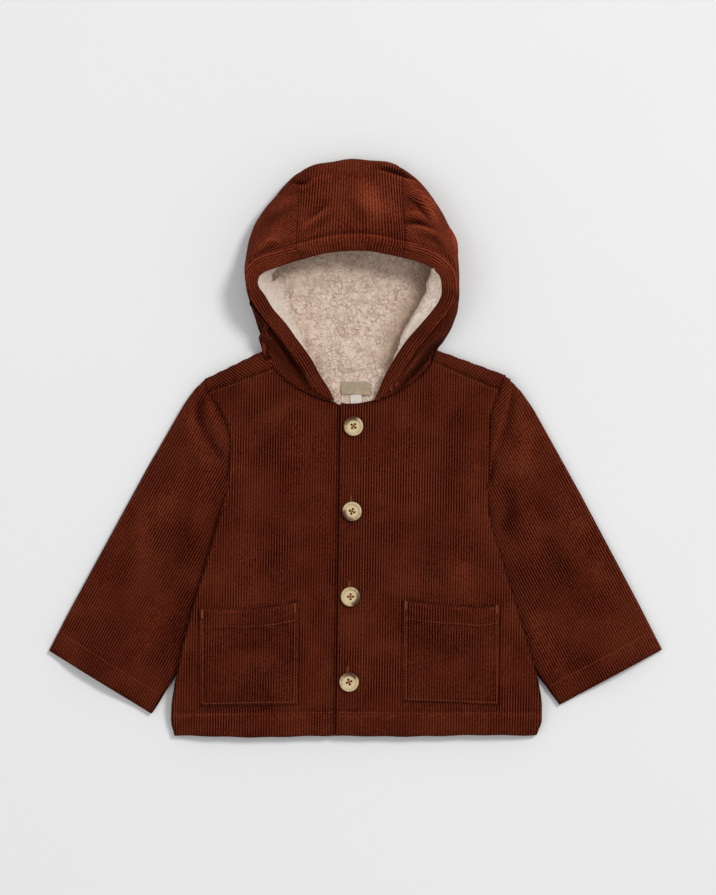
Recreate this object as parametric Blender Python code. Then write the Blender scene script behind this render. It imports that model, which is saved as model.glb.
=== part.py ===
"""A baby's hooded corduroy coat, buttoned up and laid flat with its front upwards.

Lengths are in millimetres and the meshes in metres. X runs to the right as seen from above, Y from
the hem to the hood, and Z up from the surface that the coat lies on. The origin is on the back
panel's underside. Left and right are as seen from above, so the wearer's right is on the left.

Each piece of cloth is a sheet of points for its outer side, a second one a wall's thickness in from
it, and rims between them. The body is a front and a back that lie on each other and meet in rounded
side edges. The sleeves are flattened tubes, tucked under those edges. The hood lies on its back,
with its face edge standing.
"""

import math
from collections import namedtuple

import bmesh
import bpy
from mathutils import Vector

MM = 0.001

# Cloth thicknesses, and the gap left between two pieces where they are sewn.
BODY_WALL = 3.3
SLEEVE_WALL = 2.3
HOOD_WALL = 1.6
POCKET_WALL = 1.3
HOOD_PILE = 2.8
BACK_PILE = 2.0
LABEL_WALL = 0.5
SEAM = 0.3
HOOD_NECK_GAP = 0.75
POCKET_GAP = 0.7

# The body: its outline at each height, and its depth from surface to front.
Outline = namedtuple("Outline", "y left right")
OUTLINE = (
    Outline(66, -131, 131),
    Outline(52, -131, 128),
    Outline(30, -118, 120),
    Outline(10, -111, 119),
    Outline(-24, -113, 119),
    Outline(-60, -121, 119),
    Outline(-100, -132, 131),
    Outline(-150, -147, 146),
    Outline(-200, -158, 160),
    Outline(-238, -163, 165),
    Outline(-254, -160, 160),
)
HEM_Y = -254
UNDERARM_Y = -24
LOWER_ROWS = 13
UPPER_ROWS = 7
MIDDLE_DEPTH = 11
SIDE_DEPTH = 7.8
ARMHOLE_DEPTH = 9.6
SLEEVE_LIFT = 6.6
LIFT_ENDS_Y = -226

# The neck seam is half of a superellipse, deeper and more pointed at the front than at the back.
NECK_X = -4.5
NECK_HALF_WIDTH = 75.5
NECK_Y = 87
NeckLine = namedtuple("NeckLine", "drop power")
FRONT_NECK = NeckLine(49.5, 1.7)
BACK_NECK = NeckLine(28, 2)

# The shoulders: the back turns over a fold and comes forward to the seam.
ShoulderLine = namedtuple("ShoulderLine", "neck_x tip_x tip_y neck")
Shoulder = namedtuple("Shoulder", "fold seam")
SHOULDERS = {
    "left": Shoulder(
        fold=ShoulderLine(-80, -131, 62, BACK_NECK), seam=ShoulderLine(-73, -131, 50, FRONT_NECK)
    ),
    "right": Shoulder(
        fold=ShoulderLine(71, 131, 65, BACK_NECK), seam=ShoulderLine(68, 128, 51.5, FRONT_NECK)
    ),
}

# The front opening: the right front lies over the left one and is buttoned.
OVERLAP_EDGE_TOP_X = -13.5
OVERLAP_EDGE_HEM_X = -17.5
OVERLAP_RISE = 0.5
BUTTON_DIAMETER = 18
BUTTON_THICKNESS = 3.6
BUTTON_TOP = (-1.8, 19.2)
BUTTON_STEP = (-1.3, -75.2)
BUTTONS = 4
BUTTON_SIDES = 24
BUTTON_HOLE_RADIUS = 0.9
BUTTON_HOLE_SPREAD = 2.1
BUTTON_SHANK = 0.5

# Patch pockets, as corners on the fronts.
Pocket = namedtuple("Pocket", "name left right left_top right_top left_bottom right_bottom")
POCKETS = (
    Pocket("pocket_left", -137.5, -51, -142, -137, -228, -226.5),
    Pocket("pocket_right", 42, 127, -134.5, -140, -224, -227.5),
)

# Sleeves: edge points from the shoulder to the cuff, the cuff's corners, and the hidden inner edge.
SleeveEdge = namedtuple("SleeveEdge", "outer_x outer_y inner_x inner_y")
SLEEVES = {
    "sleeve_left": (
        SleeveEdge(-133, 60.5, -113.4, -26),
        SleeveEdge(-147, 45, -118, -46),
        SleeveEdge(-173, 1.5, -122.5, -78),
        SleeveEdge(-199.5, -46, -127.5, -114),
        SleeveEdge(-226, -94.5, -138.5, -150),
        SleeveEdge(-249, -137, -150, -186),
        SleeveEdge(-271, -179, -180, -235),
    ),
    "sleeve_right": (
        SleeveEdge(133, 63.5, 119.4, -26),
        SleeveEdge(152, 42, 120, -46),
        SleeveEdge(181, -8, 119, -80),
        SleeveEdge(207, -56, 127, -116),
        SleeveEdge(234, -106, 138, -150),
        SleeveEdge(252, -141, 150, -184),
        SleeveEdge(271, -178, 180, -227),
    ),
}
SLEEVE_DEPTH = 10.5
SLEEVE_EDGE_DEPTH = 5.6

# The hood from the left chin over the top to the right chin: the edge of its opening, the widest
# line of its side, how far the face edge has risen there, from 0 to 1, and the place on the neck
# seam under it, as in neck_spot.
Section = namedtuple("Section", "edge_x edge_y side_x side_y side_z rise neck_at")
HOOD = (
    Section(-18, 42, -21, 42, 12, 0.0, 0),
    Section(-23, 53, -36, 51, 13, 0.12, 0.3),
    Section(-37, 76, -57, 67, 14, 0.3, 0.68),
    Section(-55, 102, -72, 87, 14, 0.48, 1.0),
    Section(-71, 122, -85, 104, 14, 0.64, 1.5),
    Section(-81, 137, -93, 127, 15, 0.75, 2.0),
    Section(-85, 146, -97, 146, 16, 0.82, 2.08),
    Section(-80, 154, -96, 170, 16, 0.9, 2.18),
    Section(-66, 159, -86, 202, 16, 0.96, 2.28),
    Section(-48, 164, -49, 243, 16, 0.99, 2.4),
    Section(-20, 171, -18, 254, 16, 1.0, 2.8),
    Section(10, 172.5, 10, 255, 16, 1.0, 2.8),
    Section(40, 166.5, 40, 248, 16, 0.99, 2.4),
    Section(59, 161, 73, 213, 16, 0.96, 2.28),
    Section(71, 153, 88, 177, 16, 0.9, 2.18),
    Section(75, 143, 91.5, 150, 16, 0.82, 2.08),
    Section(72, 129, 90, 121, 15, 0.75, 2.0),
    Section(56, 109, 82, 101, 14, 0.64, 1.5),
    Section(41, 90, 66, 82, 14, 0.48, 1.0),
    Section(26, 66, 44, 63, 14, 0.3, 0.62),
    Section(19, 50, 28, 49, 13, 0.12, 0.27),
    Section(16, 42.3, 20, 42.6, 12, 0.0, 0),
)
CHIN_X = 21
LEFT_SEAM_SECTION = 9
RIGHT_SEAM_SECTION = 12
HOOD_SEAM_GAP = 0.018
LINING_GAP = 0.8
LINING_DOWNS = (0, 0.5, 1.2, 2, 3, 4, 4.5, 5, 6, 6.6)
LINING_NECK_INSET = 3
LINING_SLOPE_RISE = 0.7
LINING_SAG = 1
LINING_HELD_IN = 1.5
LINING_WALL_DOWN = 2.5
LINING_CORNER_IN = 2
LINING_CORNER_SECTION = 4.6
LINING_CORNER_REACH = 1.6
LINING_LOW_DOWN = 3
LINING_BACK_REACH = 0.95
HOOD_MIDDLE = (-4, 140)
CHIN_Z = 12
FOREHEAD_Z = 34
BAND_WIDTH = 14.5
SIDE_BEYOND_BAND = 1.5

# The body's lining where the neck shows it, the neck label on it, and the size tag below that.
BACK_LINING_HALF_WIDTH = 55
BACK_LINING_COLUMNS = 12
LABEL_X = 0.5
LABEL_SIZE = (26.5, 11)
LABEL_TOP_Y = 58
TAG_SIZE = (10, 8)

NEAR = 1e-3
MOST_TILT = 0.9

RUST = (0.095, 0.022, 0.011)
CREAM = (0.58, 0.47, 0.38)
HORN = (0.42, 0.31, 0.2)
BEIGE = (0.45, 0.39, 0.29)
WHITE = (0.7, 0.68, 0.64)


def smooth(t):
    """0 to 1 with soft ends, as t goes from 0 to 1."""
    t = min(max(t, 0.0), 1.0)
    return t * t * (3 - 2 * t)


def mix(a, b, t):
    return a + (b - a) * t


def eased(values, at):
    """A Catmull-Rom curve through evenly spaced values, where at counts from 0."""
    at = min(max(at, 0.0), len(values) - 1.0)
    i = min(int(at), len(values) - 2)
    t = at - i
    a, b = values[i], values[i + 1]
    before = values[i - 1] if i else a + (a - b)
    after = values[i + 2] if i + 2 < len(values) else b + (b - a)
    slope_a, slope_b = (b - before) * 0.5, (after - a) * 0.5
    return (
        a * (2 * t**3 - 3 * t**2 + 1)
        + slope_a * (t**3 - 2 * t**2 + t)
        + b * (3 * t**2 - 2 * t**3)
        + slope_b * (t**3 - t**2)
    )


def side_x(column, y):
    """The body's outline at y, where column is left or right."""
    rows = OUTLINE
    y = min(max(y, rows[-1].y), rows[0].y)
    i = next(i for i in range(len(rows) - 1) if rows[i + 1].y <= y)
    at = i + (rows[i].y - y) / (rows[i].y - rows[i + 1].y)
    return eased([getattr(row, column) for row in rows], at)


def neck_y(x, line):
    across = min(abs(x - NECK_X) / NECK_HALF_WIDTH, 1.0)
    return NECK_Y - line.drop * (1 - across**line.power) ** (1 / line.power)


def line_neck_y(line):
    return neck_y(line.neck_x, line.neck)


def line_y(line, x):
    return mix(line_neck_y(line), line.tip_y, (x - line.neck_x) / (line.tip_x - line.neck_x))


def on_shoulder(x, kind):
    """The shoulder's fold or seam line that x is on, or None over the neck."""
    for side, sign in (("left", -1), ("right", 1)):
        line = getattr(SHOULDERS[side], kind)
        if sign * x >= sign * line.neck_x - NEAR:
            return line
    return None


def front_top_y(x):
    seam = on_shoulder(x, "seam")
    return (line_y(seam, x) if seam else neck_y(x, FRONT_NECK)) - SEAM / 2


def from_side(x, y):
    return max(min(x - side_x("left", y), side_x("right", y) - x), 0.0)


def below_underarm(y):
    """0 along the armhole, 1 along the side seam."""
    return smooth((UNDERARM_Y + 4 - y) / 16)


def back_z(x, y):
    """The back's underside: on the surface, and lifted by the sleeves along its sides."""
    along = smooth((UNDERARM_Y - 6 - y) / 40) * smooth((y - HEM_Y - 6) / (LIFT_ENDS_Y - HEM_Y))
    return SLEEVE_LIFT * along * (1 - smooth((from_side(x, y) - 10) / 24))


def front_z(x, y):
    edge = mix(ARMHOLE_DEPTH, SIDE_DEPTH, below_underarm(y))
    return back_z(x, y) + mix(edge, MIDDLE_DEPTH, smooth(from_side(x, y) / 35))


def overlap_edge_x(y):
    return mix(OVERLAP_EDGE_HEM_X, OVERLAP_EDGE_TOP_X, (y - HEM_Y) / (37 - HEM_Y))


def over_z(x, y):
    """The top of the right front, which lies over the left one."""
    return front_z(x, y) + OVERLAP_RISE * (1 - smooth((x - overlap_edge_x(y) - 18) / 12))


def under_z(x, y):
    """The top of the left front, which dips under the right one."""
    dip = BODY_WALL + SEAM - OVERLAP_RISE
    return front_z(x, y) - dip * smooth((x - overlap_edge_x(y) + 9) / 8.5)


def link_material(name, colour, roughness):
    material = bpy.data.materials.new(name)
    material.use_nodes = True
    shader = material.node_tree.nodes["Principled BSDF"]
    shader.inputs["Base Color"].default_value = (*colour, 1)
    shader.inputs["Roughness"].default_value = roughness
    shader.inputs["Metallic"].default_value = 0
    material.diffuse_color = (*colour, 1)
    return material


def add_object(name, mesh, colour, roughness=0.85):
    thing = bpy.data.objects.new(name, mesh)
    mesh.materials.append(link_material(name, colour, roughness))
    bpy.data.collections["corduroy_coat"].objects.link(thing)
    return thing


def rim_normal(normal, before, after):
    """A border point's normal, kept in the upright surface through the border's own line."""
    run = Vector((after.x - before.x, after.y - before.y, 0))
    if run.length < NEAR * MM:
        return normal
    beside = Vector((-run.y, run.x, 0)).normalized()
    if abs(normal.dot(beside)) > MOST_TILT:
        return normal
    return (normal - beside * normal.dot(beside)).normalized()


def border_turns(border):
    """Each border point with the points before and after it on the border."""
    beside = {}
    for edge in border:
        for here in edge.verts:
            beside.setdefault(here, []).append(edge.other_vert(here))
    return {here: ends for here, ends in beside.items() if len(ends) == 2}


def cloth(name, rows, wall, colour, closed=False):
    """A sheet through rows of points in millimetres, with its wall on its inner side.

    A point is None where the sheet has none. The outer side is the one that faces the reader when
    rows run up and their points run right. A closed sheet's rows are rings. At its borders the
    wall is upright, so that it keeps its gap to the next piece."""
    mesh = bpy.data.meshes.new(name)
    work = bmesh.new()
    grid = [[p and work.verts.new(Vector(p) * MM) for p in row] for row in rows]
    for low, high in zip(grid, grid[1:]):
        for i in range(len(low) if closed else len(low) - 1):
            j = (i + 1) % len(low)
            corners = [low[i], low[j], high[j], high[i]]
            if all(corners):
                work.faces.new(corners)
    work.normal_update()
    faces, points = list(work.faces), list(work.verts)
    border = [edge for edge in work.edges if edge.is_boundary]
    turns = border_turns(border)
    inner = {}
    for point in points:
        normal = point.normal
        if point in turns:
            normal = rim_normal(normal, *(end.co for end in turns[point]))
        inner[point] = work.verts.new(point.co - normal * wall * MM)
    for face in faces:
        work.faces.new([inner[corner] for corner in reversed(face.verts)])
    for edge in border:
        first = edge.link_loops[0].vert
        second = edge.other_vert(first)
        work.faces.new([second, first, inner[first], inner[second]])
    work.to_mesh(mesh)
    work.free()
    return add_object(name, mesh, colour)


# Columns of points across the body from a side edge inwards: first round the folded edge, by angle,
# then at distances from the edge, then at shares of what is left.
FOLD_ANGLES = (0, 30, 60, 90)
FOLD_RIM = 0.6
EDGE_STEPS = (10, 17, 24, 34)
NECK_COLUMNS = 10
FRONT_COLUMNS = 4
Column = namedtuple("Column", "angle inset share")


def edge_columns():
    radius = SIDE_DEPTH / 2 - FOLD_RIM
    bends = [Column(a, radius * (1 - math.cos(math.radians(a))), 0) for a in FOLD_ANGLES]
    return [Column(None, 0, 0)] + bends + [Column(90, inset, 0) for inset in EDGE_STEPS]


def column_x(column, edge_x, other_x):
    inward = 1 if other_x > edge_x else -1
    return mix(edge_x + inward * column.inset, other_x, column.share)


def folded_z(flat_z, middle_z, angle, fold):
    """Height of a column on a folded edge, where fold is 0 for an edge that stays flat.

    The fold starts with a short upright rim at middle height, for which angle is None."""
    up = math.copysign(1, flat_z - middle_z)
    if angle is None:
        return mix(flat_z - up * FOLD_RIM, middle_z, fold)
    drop = (flat_z - middle_z - up * FOLD_RIM) * (1 - math.sin(math.radians(angle)))
    return flat_z - fold * drop


def column_top(x_at, top_y):
    """Where a column meets the panel's top line, by repeated substitution."""
    y = top_y(x_at(0.0))
    for _ in range(30):
        y = mix(y, top_y(x_at(y)), 0.6)
    return y


def row_ys(top):
    """Rows up a column: the same ones for all columns as far as the underarm."""
    low = [mix(HEM_Y, UNDERARM_Y, i / LOWER_ROWS) for i in range(LOWER_ROWS)]
    return low + [mix(UNDERARM_Y, top, i / UPPER_ROWS) for i in range(UPPER_ROWS + 1)]


def held_side_x(side, y):
    """The body's edge, drawn in by half a seam's gap along the armhole."""
    inward = 1 if side == "left" else -1
    return side_x(side, y) + inward * SEAM / 2 * (1 - below_underarm(y))


def panel_point(x, y, side, column, flat_z, half_seam):
    """A point of the front or the back, where half_seam keeps its folded edge off the other's."""
    edge = side_x(side, y)
    middle = (back_z(edge, y) + front_z(edge, y)) / 2 + half_seam
    return (x, y, folded_z(flat_z(x, y), middle, column.angle, below_underarm(y)))


def front_column(side, other_x, top_z, column):
    """The points of one column of a front panel, from the hem up."""

    def x_at(y):
        return column_x(column, held_side_x(side, y), other_x(y))

    ys = row_ys(column_top(x_at, front_top_y))
    return [panel_point(x_at(y), y, side, column, top_z, SEAM / 2) for y in ys]


def turned(columns):
    """Columns of points as rows."""
    return [list(row) for row in zip(*columns)]


def make_front(name, side, top_z, beside_overlap):
    """A front from its side edge to a few columns at set distances beside the overlap's edge."""
    corner = SHOULDERS[side].seam
    corner_y = line_neck_y(corner)
    edge_x, stop_x = side_x(side, corner_y), overlap_edge_x(corner_y) + beside_overlap[0]
    corner_share = (corner.neck_x - edge_x) / (stop_x - edge_x) - NEAR
    shares = [mix(corner_share, 1, (i / FRONT_COLUMNS) ** 1.5) for i in range(FRONT_COLUMNS)]
    lines = []
    for column in edge_columns() + [Column(90, 0, share) for share in shares]:
        lines.append(
            front_column(side, lambda y: overlap_edge_x(y) + beside_overlap[0], top_z, column)
        )
    for beside in beside_overlap:
        lines.append(
            front_column(side, lambda y, b=beside: overlap_edge_x(y) + b, top_z, Column(90, 0, 1))
        )
    rows = turned(lines)
    cloth(name, rows if side == "left" else [row[::-1] for row in rows], BODY_WALL, RUST)


SHOULDER_ANGLES = (30, 60, 90, 120, 150, 180)
SHOULDER_FOLD_ROWS = len(SHOULDER_ANGLES) + 2


def shoulder_radius(x):
    return front_z(x, line_y(on_shoulder(x, "fold"), x) - 12) / 2


def shoulder_fold(side, x):
    """The points that turn a back column over the shoulder at x and forward to the seam."""
    fold, seam = SHOULDERS[side]
    share = (x - fold.tip_x) / (fold.neck_x - fold.tip_x)
    seam_x = mix(seam.tip_x, seam.neck_x, share)
    fold_y, seam_y = line_y(fold, x), line_y(seam, seam_x) + SEAM / 2
    radius = shoulder_radius(x)
    points = []
    for angle in SHOULDER_ANGLES:
        turn = math.radians(angle)
        y = fold_y - radius + radius * math.sin(turn)
        points.append((x, y, radius * (1 - math.cos(turn))))
    for share in (0.5, 1):
        spot = (mix(x, seam_x, share), mix(fold_y - radius, seam_y, share))
        points.append((*spot, mix(2 * radius, front_z(*spot), share)))
    return points


def back_top_y(x):
    """Where the back's flat part ends: at the neck seam, or where the shoulder's fold begins."""
    fold = on_shoulder(x, "fold")
    if fold:
        return line_y(fold, x) - shoulder_radius(x)
    return neck_y(x, BACK_NECK) - SEAM / 2


def back_column(side, other_x, column):
    """The points of one column of the back, from the hem up and over the shoulder if it has one."""

    def x_at(y):
        return column_x(column, held_side_x(side, y), other_x(y))

    ys = row_ys(column_top(x_at, back_top_y))
    points = [panel_point(x_at(y), y, side, column, back_z, -SEAM / 2) for y in ys]
    x = points[-1][0]
    if on_shoulder(x, "fold"):
        return points + shoulder_fold(side, x)
    return points + [None] * SHOULDER_FOLD_ROWS


def neck_line_x(side, y):
    """A line from the hem up to a shoulder's neck end, at one share of the body's width."""
    fold = SHOULDERS[side].fold
    left, right = [side_x(end, line_neck_y(fold)) for end in SHOULDERS]
    share = (fold.neck_x + math.copysign(SEAM / 2, fold.neck_x) - left) / (right - left)
    return mix(side_x("left", y), side_x("right", y), share)


def make_back():
    columns = edge_columns()
    left_neck, right_neck = [lambda y, s=side: neck_line_x(s, y) for side in SHOULDERS]
    neck = Column(90, 0, 1)
    lines = [back_column("left", left_neck, column) for column in columns + [neck]]
    for i in range(1, NECK_COLUMNS):
        share = (1 - math.cos(math.pi * i / NECK_COLUMNS)) / 2
        lines.append(
            back_column("left", lambda y, t=share: mix(left_neck(y), right_neck(y), t), neck)
        )
    lines += [back_column("right", right_neck, column) for column in [neck] + columns[::-1]]
    cloth("back", [row[::-1] for row in turned(lines)], BODY_WALL, RUST)


def armhole(side, down):
    """A point on the armhole seam, from the shoulder's fold to the underarm."""
    y = mix(SHOULDERS[side].fold.tip_y - 1.0, UNDERARM_Y - 2, down)
    out = -1 if side == "left" else 1
    return Vector((side_x(side, y) + out * 0.5, y))


def sleeve_xy(name, across, along):
    """A Coons patch: across runs from the outer edge to the inner one, along from armhole to cuff."""
    table = SLEEVES[name]
    at = along * (len(table) - 1)
    outer = Vector((eased([r.outer_x for r in table], at), eased([r.outer_y for r in table], at)))
    inner = Vector((eased([r.inner_x for r in table], at), eased([r.inner_y for r in table], at)))
    side = name.split("_")[1]
    start_a = Vector((table[0].outer_x, table[0].outer_y))
    start_b = Vector((table[0].inner_x, table[0].inner_y))
    start = armhole(side, across)
    flat = start_a.lerp(start_b, across)
    return outer.lerp(inner, across) + (start - flat) * (1 - along) ** 2


def sleeve_depth(across, along):
    """The tube's depth: thin along its folds, and as deep as the body at the armhole."""
    full = mix(ARMHOLE_DEPTH, SLEEVE_DEPTH, smooth(along * 4))
    out = smooth(across / 0.35)
    inn = smooth((1 - across - 0.1) / 0.4)
    edge = mix(ARMHOLE_DEPTH, SLEEVE_EDGE_DEPTH, smooth(along * 5))
    return mix(edge, full, min(out, inn))


def make_sleeve(name):
    """Rings of points from the armhole to the cuff: over the top from the outer fold, back beneath."""
    steps, lengths = 9, 14
    rows = []
    for j in range(lengths + 1):
        along = (j / lengths) ** 1.2
        top, bottom = [], []
        for i in range(steps + 1):
            across = (1 - math.cos(math.pi * i / steps)) / 2
            spot = sleeve_xy(name, across, along)
            depth = sleeve_depth(across, along)
            width = (sleeve_xy(name, 1, along) - sleeve_xy(name, 0, along)).length
            near = min(across, 1 - across) * width / (depth / 2)
            bulge = math.sqrt(1 - (1 - min(near, 1)) ** 2)
            top.append((spot.x, spot.y, depth / 2 * (1 + bulge)))
            bottom.append((spot.x, spot.y, depth / 2 * (1 - bulge)))
        ring = top + bottom[-2:0:-1]
        rows.append(ring)
    if name == "sleeve_right":
        rows = [row[::-1] for row in rows]
    cloth(name, rows[::-1], SLEEVE_WALL, RUST, closed=True)


def hood_section(at):
    """The hood's section at a place along its table, as a tuple of the same columns."""
    return Section(*(eased([getattr(s, c) for s in HOOD], at) for c in Section._fields))


def neck_spot(side, along):
    """A point of the hood's neck edge, a seam's gap inside the neck seam.

    It runs from the chin at 0 along the front to the shoulder seam at 1, up the shoulder to its
    fold at 2, and along the back to the centre at 3."""
    fold, seam = SHOULDERS[side]
    hold = math.copysign(HOOD_NECK_GAP, -fold.neck_x)
    if along <= 1:
        x = mix(math.copysign(CHIN_X, fold.neck_x), seam.neck_x, along)
        return Vector((x, neck_y(x, FRONT_NECK) + HOOD_NECK_GAP, MIDDLE_DEPTH))
    if along <= 2:
        up = along - 1
        x, y = mix(seam.neck_x, fold.neck_x, up), mix(line_neck_y(seam), line_neck_y(fold), up)
        return Vector((x + hold, y + HOOD_NECK_GAP * up, MIDDLE_DEPTH * (1 - up**3)))
    x = mix(fold.neck_x + hold, NECK_X, along - 2)
    return Vector((x, neck_y(x, BACK_NECK) + HOOD_NECK_GAP, 0))


def hood_neck(section, at):
    return neck_spot("left" if at < len(HOOD) / 2 else "right", section.neck_at)


def hood_line(at):
    """The points that a section of the hood is drawn through, from its face edge to the neck seam."""
    section = hood_section(at)
    before, after = hood_section(at - 0.2), hood_section(at + 0.2)
    run = Vector((after.edge_x - before.edge_x, after.edge_y - before.edge_y, 0)).normalized()
    out = Vector((-run.y, run.x, 0))
    rise = section.rise
    end = min(at, len(HOOD) - 1 - at)
    band = BAND_WIDTH * smooth((end + 0.35) / 1.6)
    edge = Vector((section.edge_x, section.edge_y, mix(CHIN_Z - 1, FOREHEAD_Z, rise)))
    side = Vector((section.side_x, section.side_y, section.side_z))
    band = min(band, (side - edge).dot(out) - SIDE_BEYOND_BAND)
    ridge = edge + out * band + Vector((0, 0, 1 + 7 * rise * rise))
    crest = edge + out * band * 0.5 + Vector((0, 0, 3 + 3 * rise * rise))
    neck = hood_neck(section, at)
    reach = (neck - side) * 1.0
    reach.z = 0
    under = side + reach.normalized() * min(12, reach.length * 0.5)
    on_front = smooth((2.1 - section.neck_at) / 0.8)
    under.z = mix(0, MIDDLE_DEPTH + 1, on_front)
    shoulder = ridge.lerp(side, 0.55) + Vector((0, 0, (ridge.z - side.z) * 0.33))
    lead = under.lerp(neck, 0.5)
    lead.z = mix(0, MIDDLE_DEPTH + 0.5, on_front)
    return [edge, crest, ridge, shoulder, side, under, lead, neck]


def hood_point(at, down):
    """A point of the hood's outer surface, where down counts the section's points from its edge."""
    line = hood_line(at)
    spot = Vector([eased([p[axis] for p in line], down) for axis in range(3)])
    spot.z = max(spot.z, 0)
    return spot


HOOD_PANELS = {
    "hood_side_left": (0, LEFT_SEAM_SECTION, 14),
    "hood_centre": (LEFT_SEAM_SECTION, RIGHT_SEAM_SECTION, 6),
    "hood_side_right": (RIGHT_SEAM_SECTION, len(HOOD) - 1, 14),
}
HOOD_DOWNS = (0, 0.5, 1, 1.5, 2, 2.5, 3, 3.5, 4, 4.5, 5, 6, 7)


def panel_places(name):
    first, last, steps = HOOD_PANELS[name]
    return [mix(first + HOOD_SEAM_GAP, last - HOOD_SEAM_GAP, i / steps) for i in range(steps + 1)]


def make_hood_panel(name):
    places = panel_places(name)
    rows = [[tuple(hood_point(at, down)) for at in places] for down in HOOD_DOWNS]
    cloth(name, rows, HOOD_WALL, RUST)


def sheet_normals(rows):
    """The outward normal at each point of a full grid: the mean of its cells' own normals."""
    normals = [[Vector() for _ in row] for row in rows]
    for j in range(len(rows) - 1):
        for i in range(len(rows[0]) - 1):
            along = rows[j][i + 1] - rows[j][i] + rows[j + 1][i + 1] - rows[j + 1][i]
            up = rows[j + 1][i] - rows[j][i] + rows[j + 1][i + 1] - rows[j][i + 1]
            normal = along.cross(up).normalized()
            for corner in ((j, i), (j, i + 1), (j + 1, i), (j + 1, i + 1)):
                normals[corner[0]][corner[1]] += normal
    return [[normal.normalized() for normal in row] for row in normals]


def lining_end(at):
    """Where the lining meets the neck seam inside the hood's wall."""
    seam = hood_neck(hood_section(at), at)
    inward = Vector((NECK_X - seam.x, NECK_Y - seam.y, 0)).normalized()
    return seam + inward * LINING_NECK_INSET - Vector((0, 0, HOOD_WALL + LINING_GAP))


def lining_places():
    """Places along the hood for the lining's columns: the panels' own, away from their seams."""
    inner = [at for name in HOOD_PANELS for at in panel_places(name)[1:-1]]
    return sorted([0, LEFT_SEAM_SECTION, RIGHT_SEAM_SECTION, len(HOOD) - 1, *inner])


def lining_column(at, column):
    """A column of the lining, moved off the hood's tight turns from where its offset puts it.

    It is held in along the side wall and at the shoulder's corner. Under the V of the face edge it
    is a plain slope from the edge down to the neck seam, and elsewhere it stays off the floor."""
    section = hood_section(at)
    middle = Vector((*HOOD_MIDDLE, 0))
    inward = (middle - Vector((section.edge_x, section.edge_y, 0))).normalized()
    from_end = min(at, len(HOOD) - 1 - at)
    at_corner = smooth(LINING_CORNER_REACH - abs(from_end - LINING_CORNER_SECTION))
    held = []
    for spot, down in zip(column, LINING_DOWNS):
        on_wall = smooth(2 - abs(down - LINING_WALL_DOWN)) * section.rise
        low = at_corner * smooth(down - LINING_LOW_DOWN)
        held.append(spot + inward * (LINING_HELD_IN * on_wall + LINING_CORNER_IN * low))
    high, low = held[1], lining_end(at)
    slope = smooth((LINING_SLOPE_RISE - section.rise) / 0.15)
    over_shoulder = smooth((2.2 - section.neck_at) / 0.3)
    least_z = HOOD_WALL + LINING_GAP + HOOD_PILE * over_shoulder
    for j, down in enumerate(LINING_DOWNS):
        share = (down - LINING_DOWNS[1]) / (LINING_DOWNS[-1] - LINING_DOWNS[1])
        sag = Vector((0, 0, 4 * LINING_SAG * share * (1 - share)))
        held[j] = held[j].lerp(high.lerp(low, share) - sag, slope)
        held[j].z = max(held[j].z, least_z)
    return held


def make_hood_lining():
    """One sheet inside the three panels, on their own lines of points."""
    places, last = lining_places(), HOOD_DOWNS[-1]
    *downs, neck_down = LINING_DOWNS
    outer = [[hood_point(at, down) for at in places] for down in downs]
    reach = (neck_down - downs[-1]) / (last - downs[-1])
    end_row = []
    for spot, at in zip(outer[-1], places):
        on_back = smooth((hood_section(at).neck_at - 2.1) / 0.3)
        end_row.append(spot.lerp(hood_point(at, last), mix(reach, LINING_BACK_REACH, on_back)))
    outer.append(end_row)
    normals = sheet_normals(outer)
    deep = HOOD_WALL + LINING_GAP
    rows = [[p - n * deep for p, n in zip(*pair)] for pair in zip(outer, normals)]
    columns = [lining_column(at, column) for at, column in zip(places, turned(rows))]
    rows = turned(columns[1:-1])
    cloth("hood_lining", rows[1:], HOOD_PILE, CREAM)


def make_patch(name, corners, wall, colour, top_z, steps):
    """A flat piece lying on the one below: corners are (left, right) ends of its bottom and top."""
    bottom, top = corners
    rows = []
    for j in range(steps[1] + 1):
        up = j / steps[1]
        row = []
        for i in range(steps[0] + 1):
            across = i / steps[0]
            low = [mix(bottom[0][k], bottom[1][k], across) for k in (0, 1)]
            high = [mix(top[0][k], top[1][k], across) for k in (0, 1)]
            x, y = mix(low[0], high[0], up), mix(low[1], high[1], up)
            row.append((x, y, top_z(x, y)))
        rows.append(row)
    cloth(name, rows, wall, colour)


def make_back_lining():
    """The body's pile lining where the neck shows it, from the fronts' neck edge to the back's."""
    top_z = BODY_WALL + SEAM + BACK_PILE
    columns = []
    for i in range(BACK_LINING_COLUMNS + 1):
        across = mix(-1, 1, i / BACK_LINING_COLUMNS)
        x = NECK_X + BACK_LINING_HALF_WIDTH * across
        low, top = neck_y(x, FRONT_NECK) + SEAM * 2, neck_y(x, BACK_NECK) - SEAM
        columns.append([(x, mix(low, top, j / 2), top_z) for j in range(3)])
    cloth("back_lining", turned(columns), BACK_PILE, CREAM)


def make_pocket(pocket):
    base = under_z if pocket.right < 0 else over_z

    def top_z(x, y):
        return base(x, y) + POCKET_GAP + POCKET_WALL

    bottom = ((pocket.left, pocket.left_bottom), (pocket.right, pocket.right_bottom))
    top = ((pocket.left, pocket.left_top), (pocket.right, pocket.right_top))
    make_patch(pocket.name, (bottom, top), POCKET_WALL, RUST, top_z, (10, 10))


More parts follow.
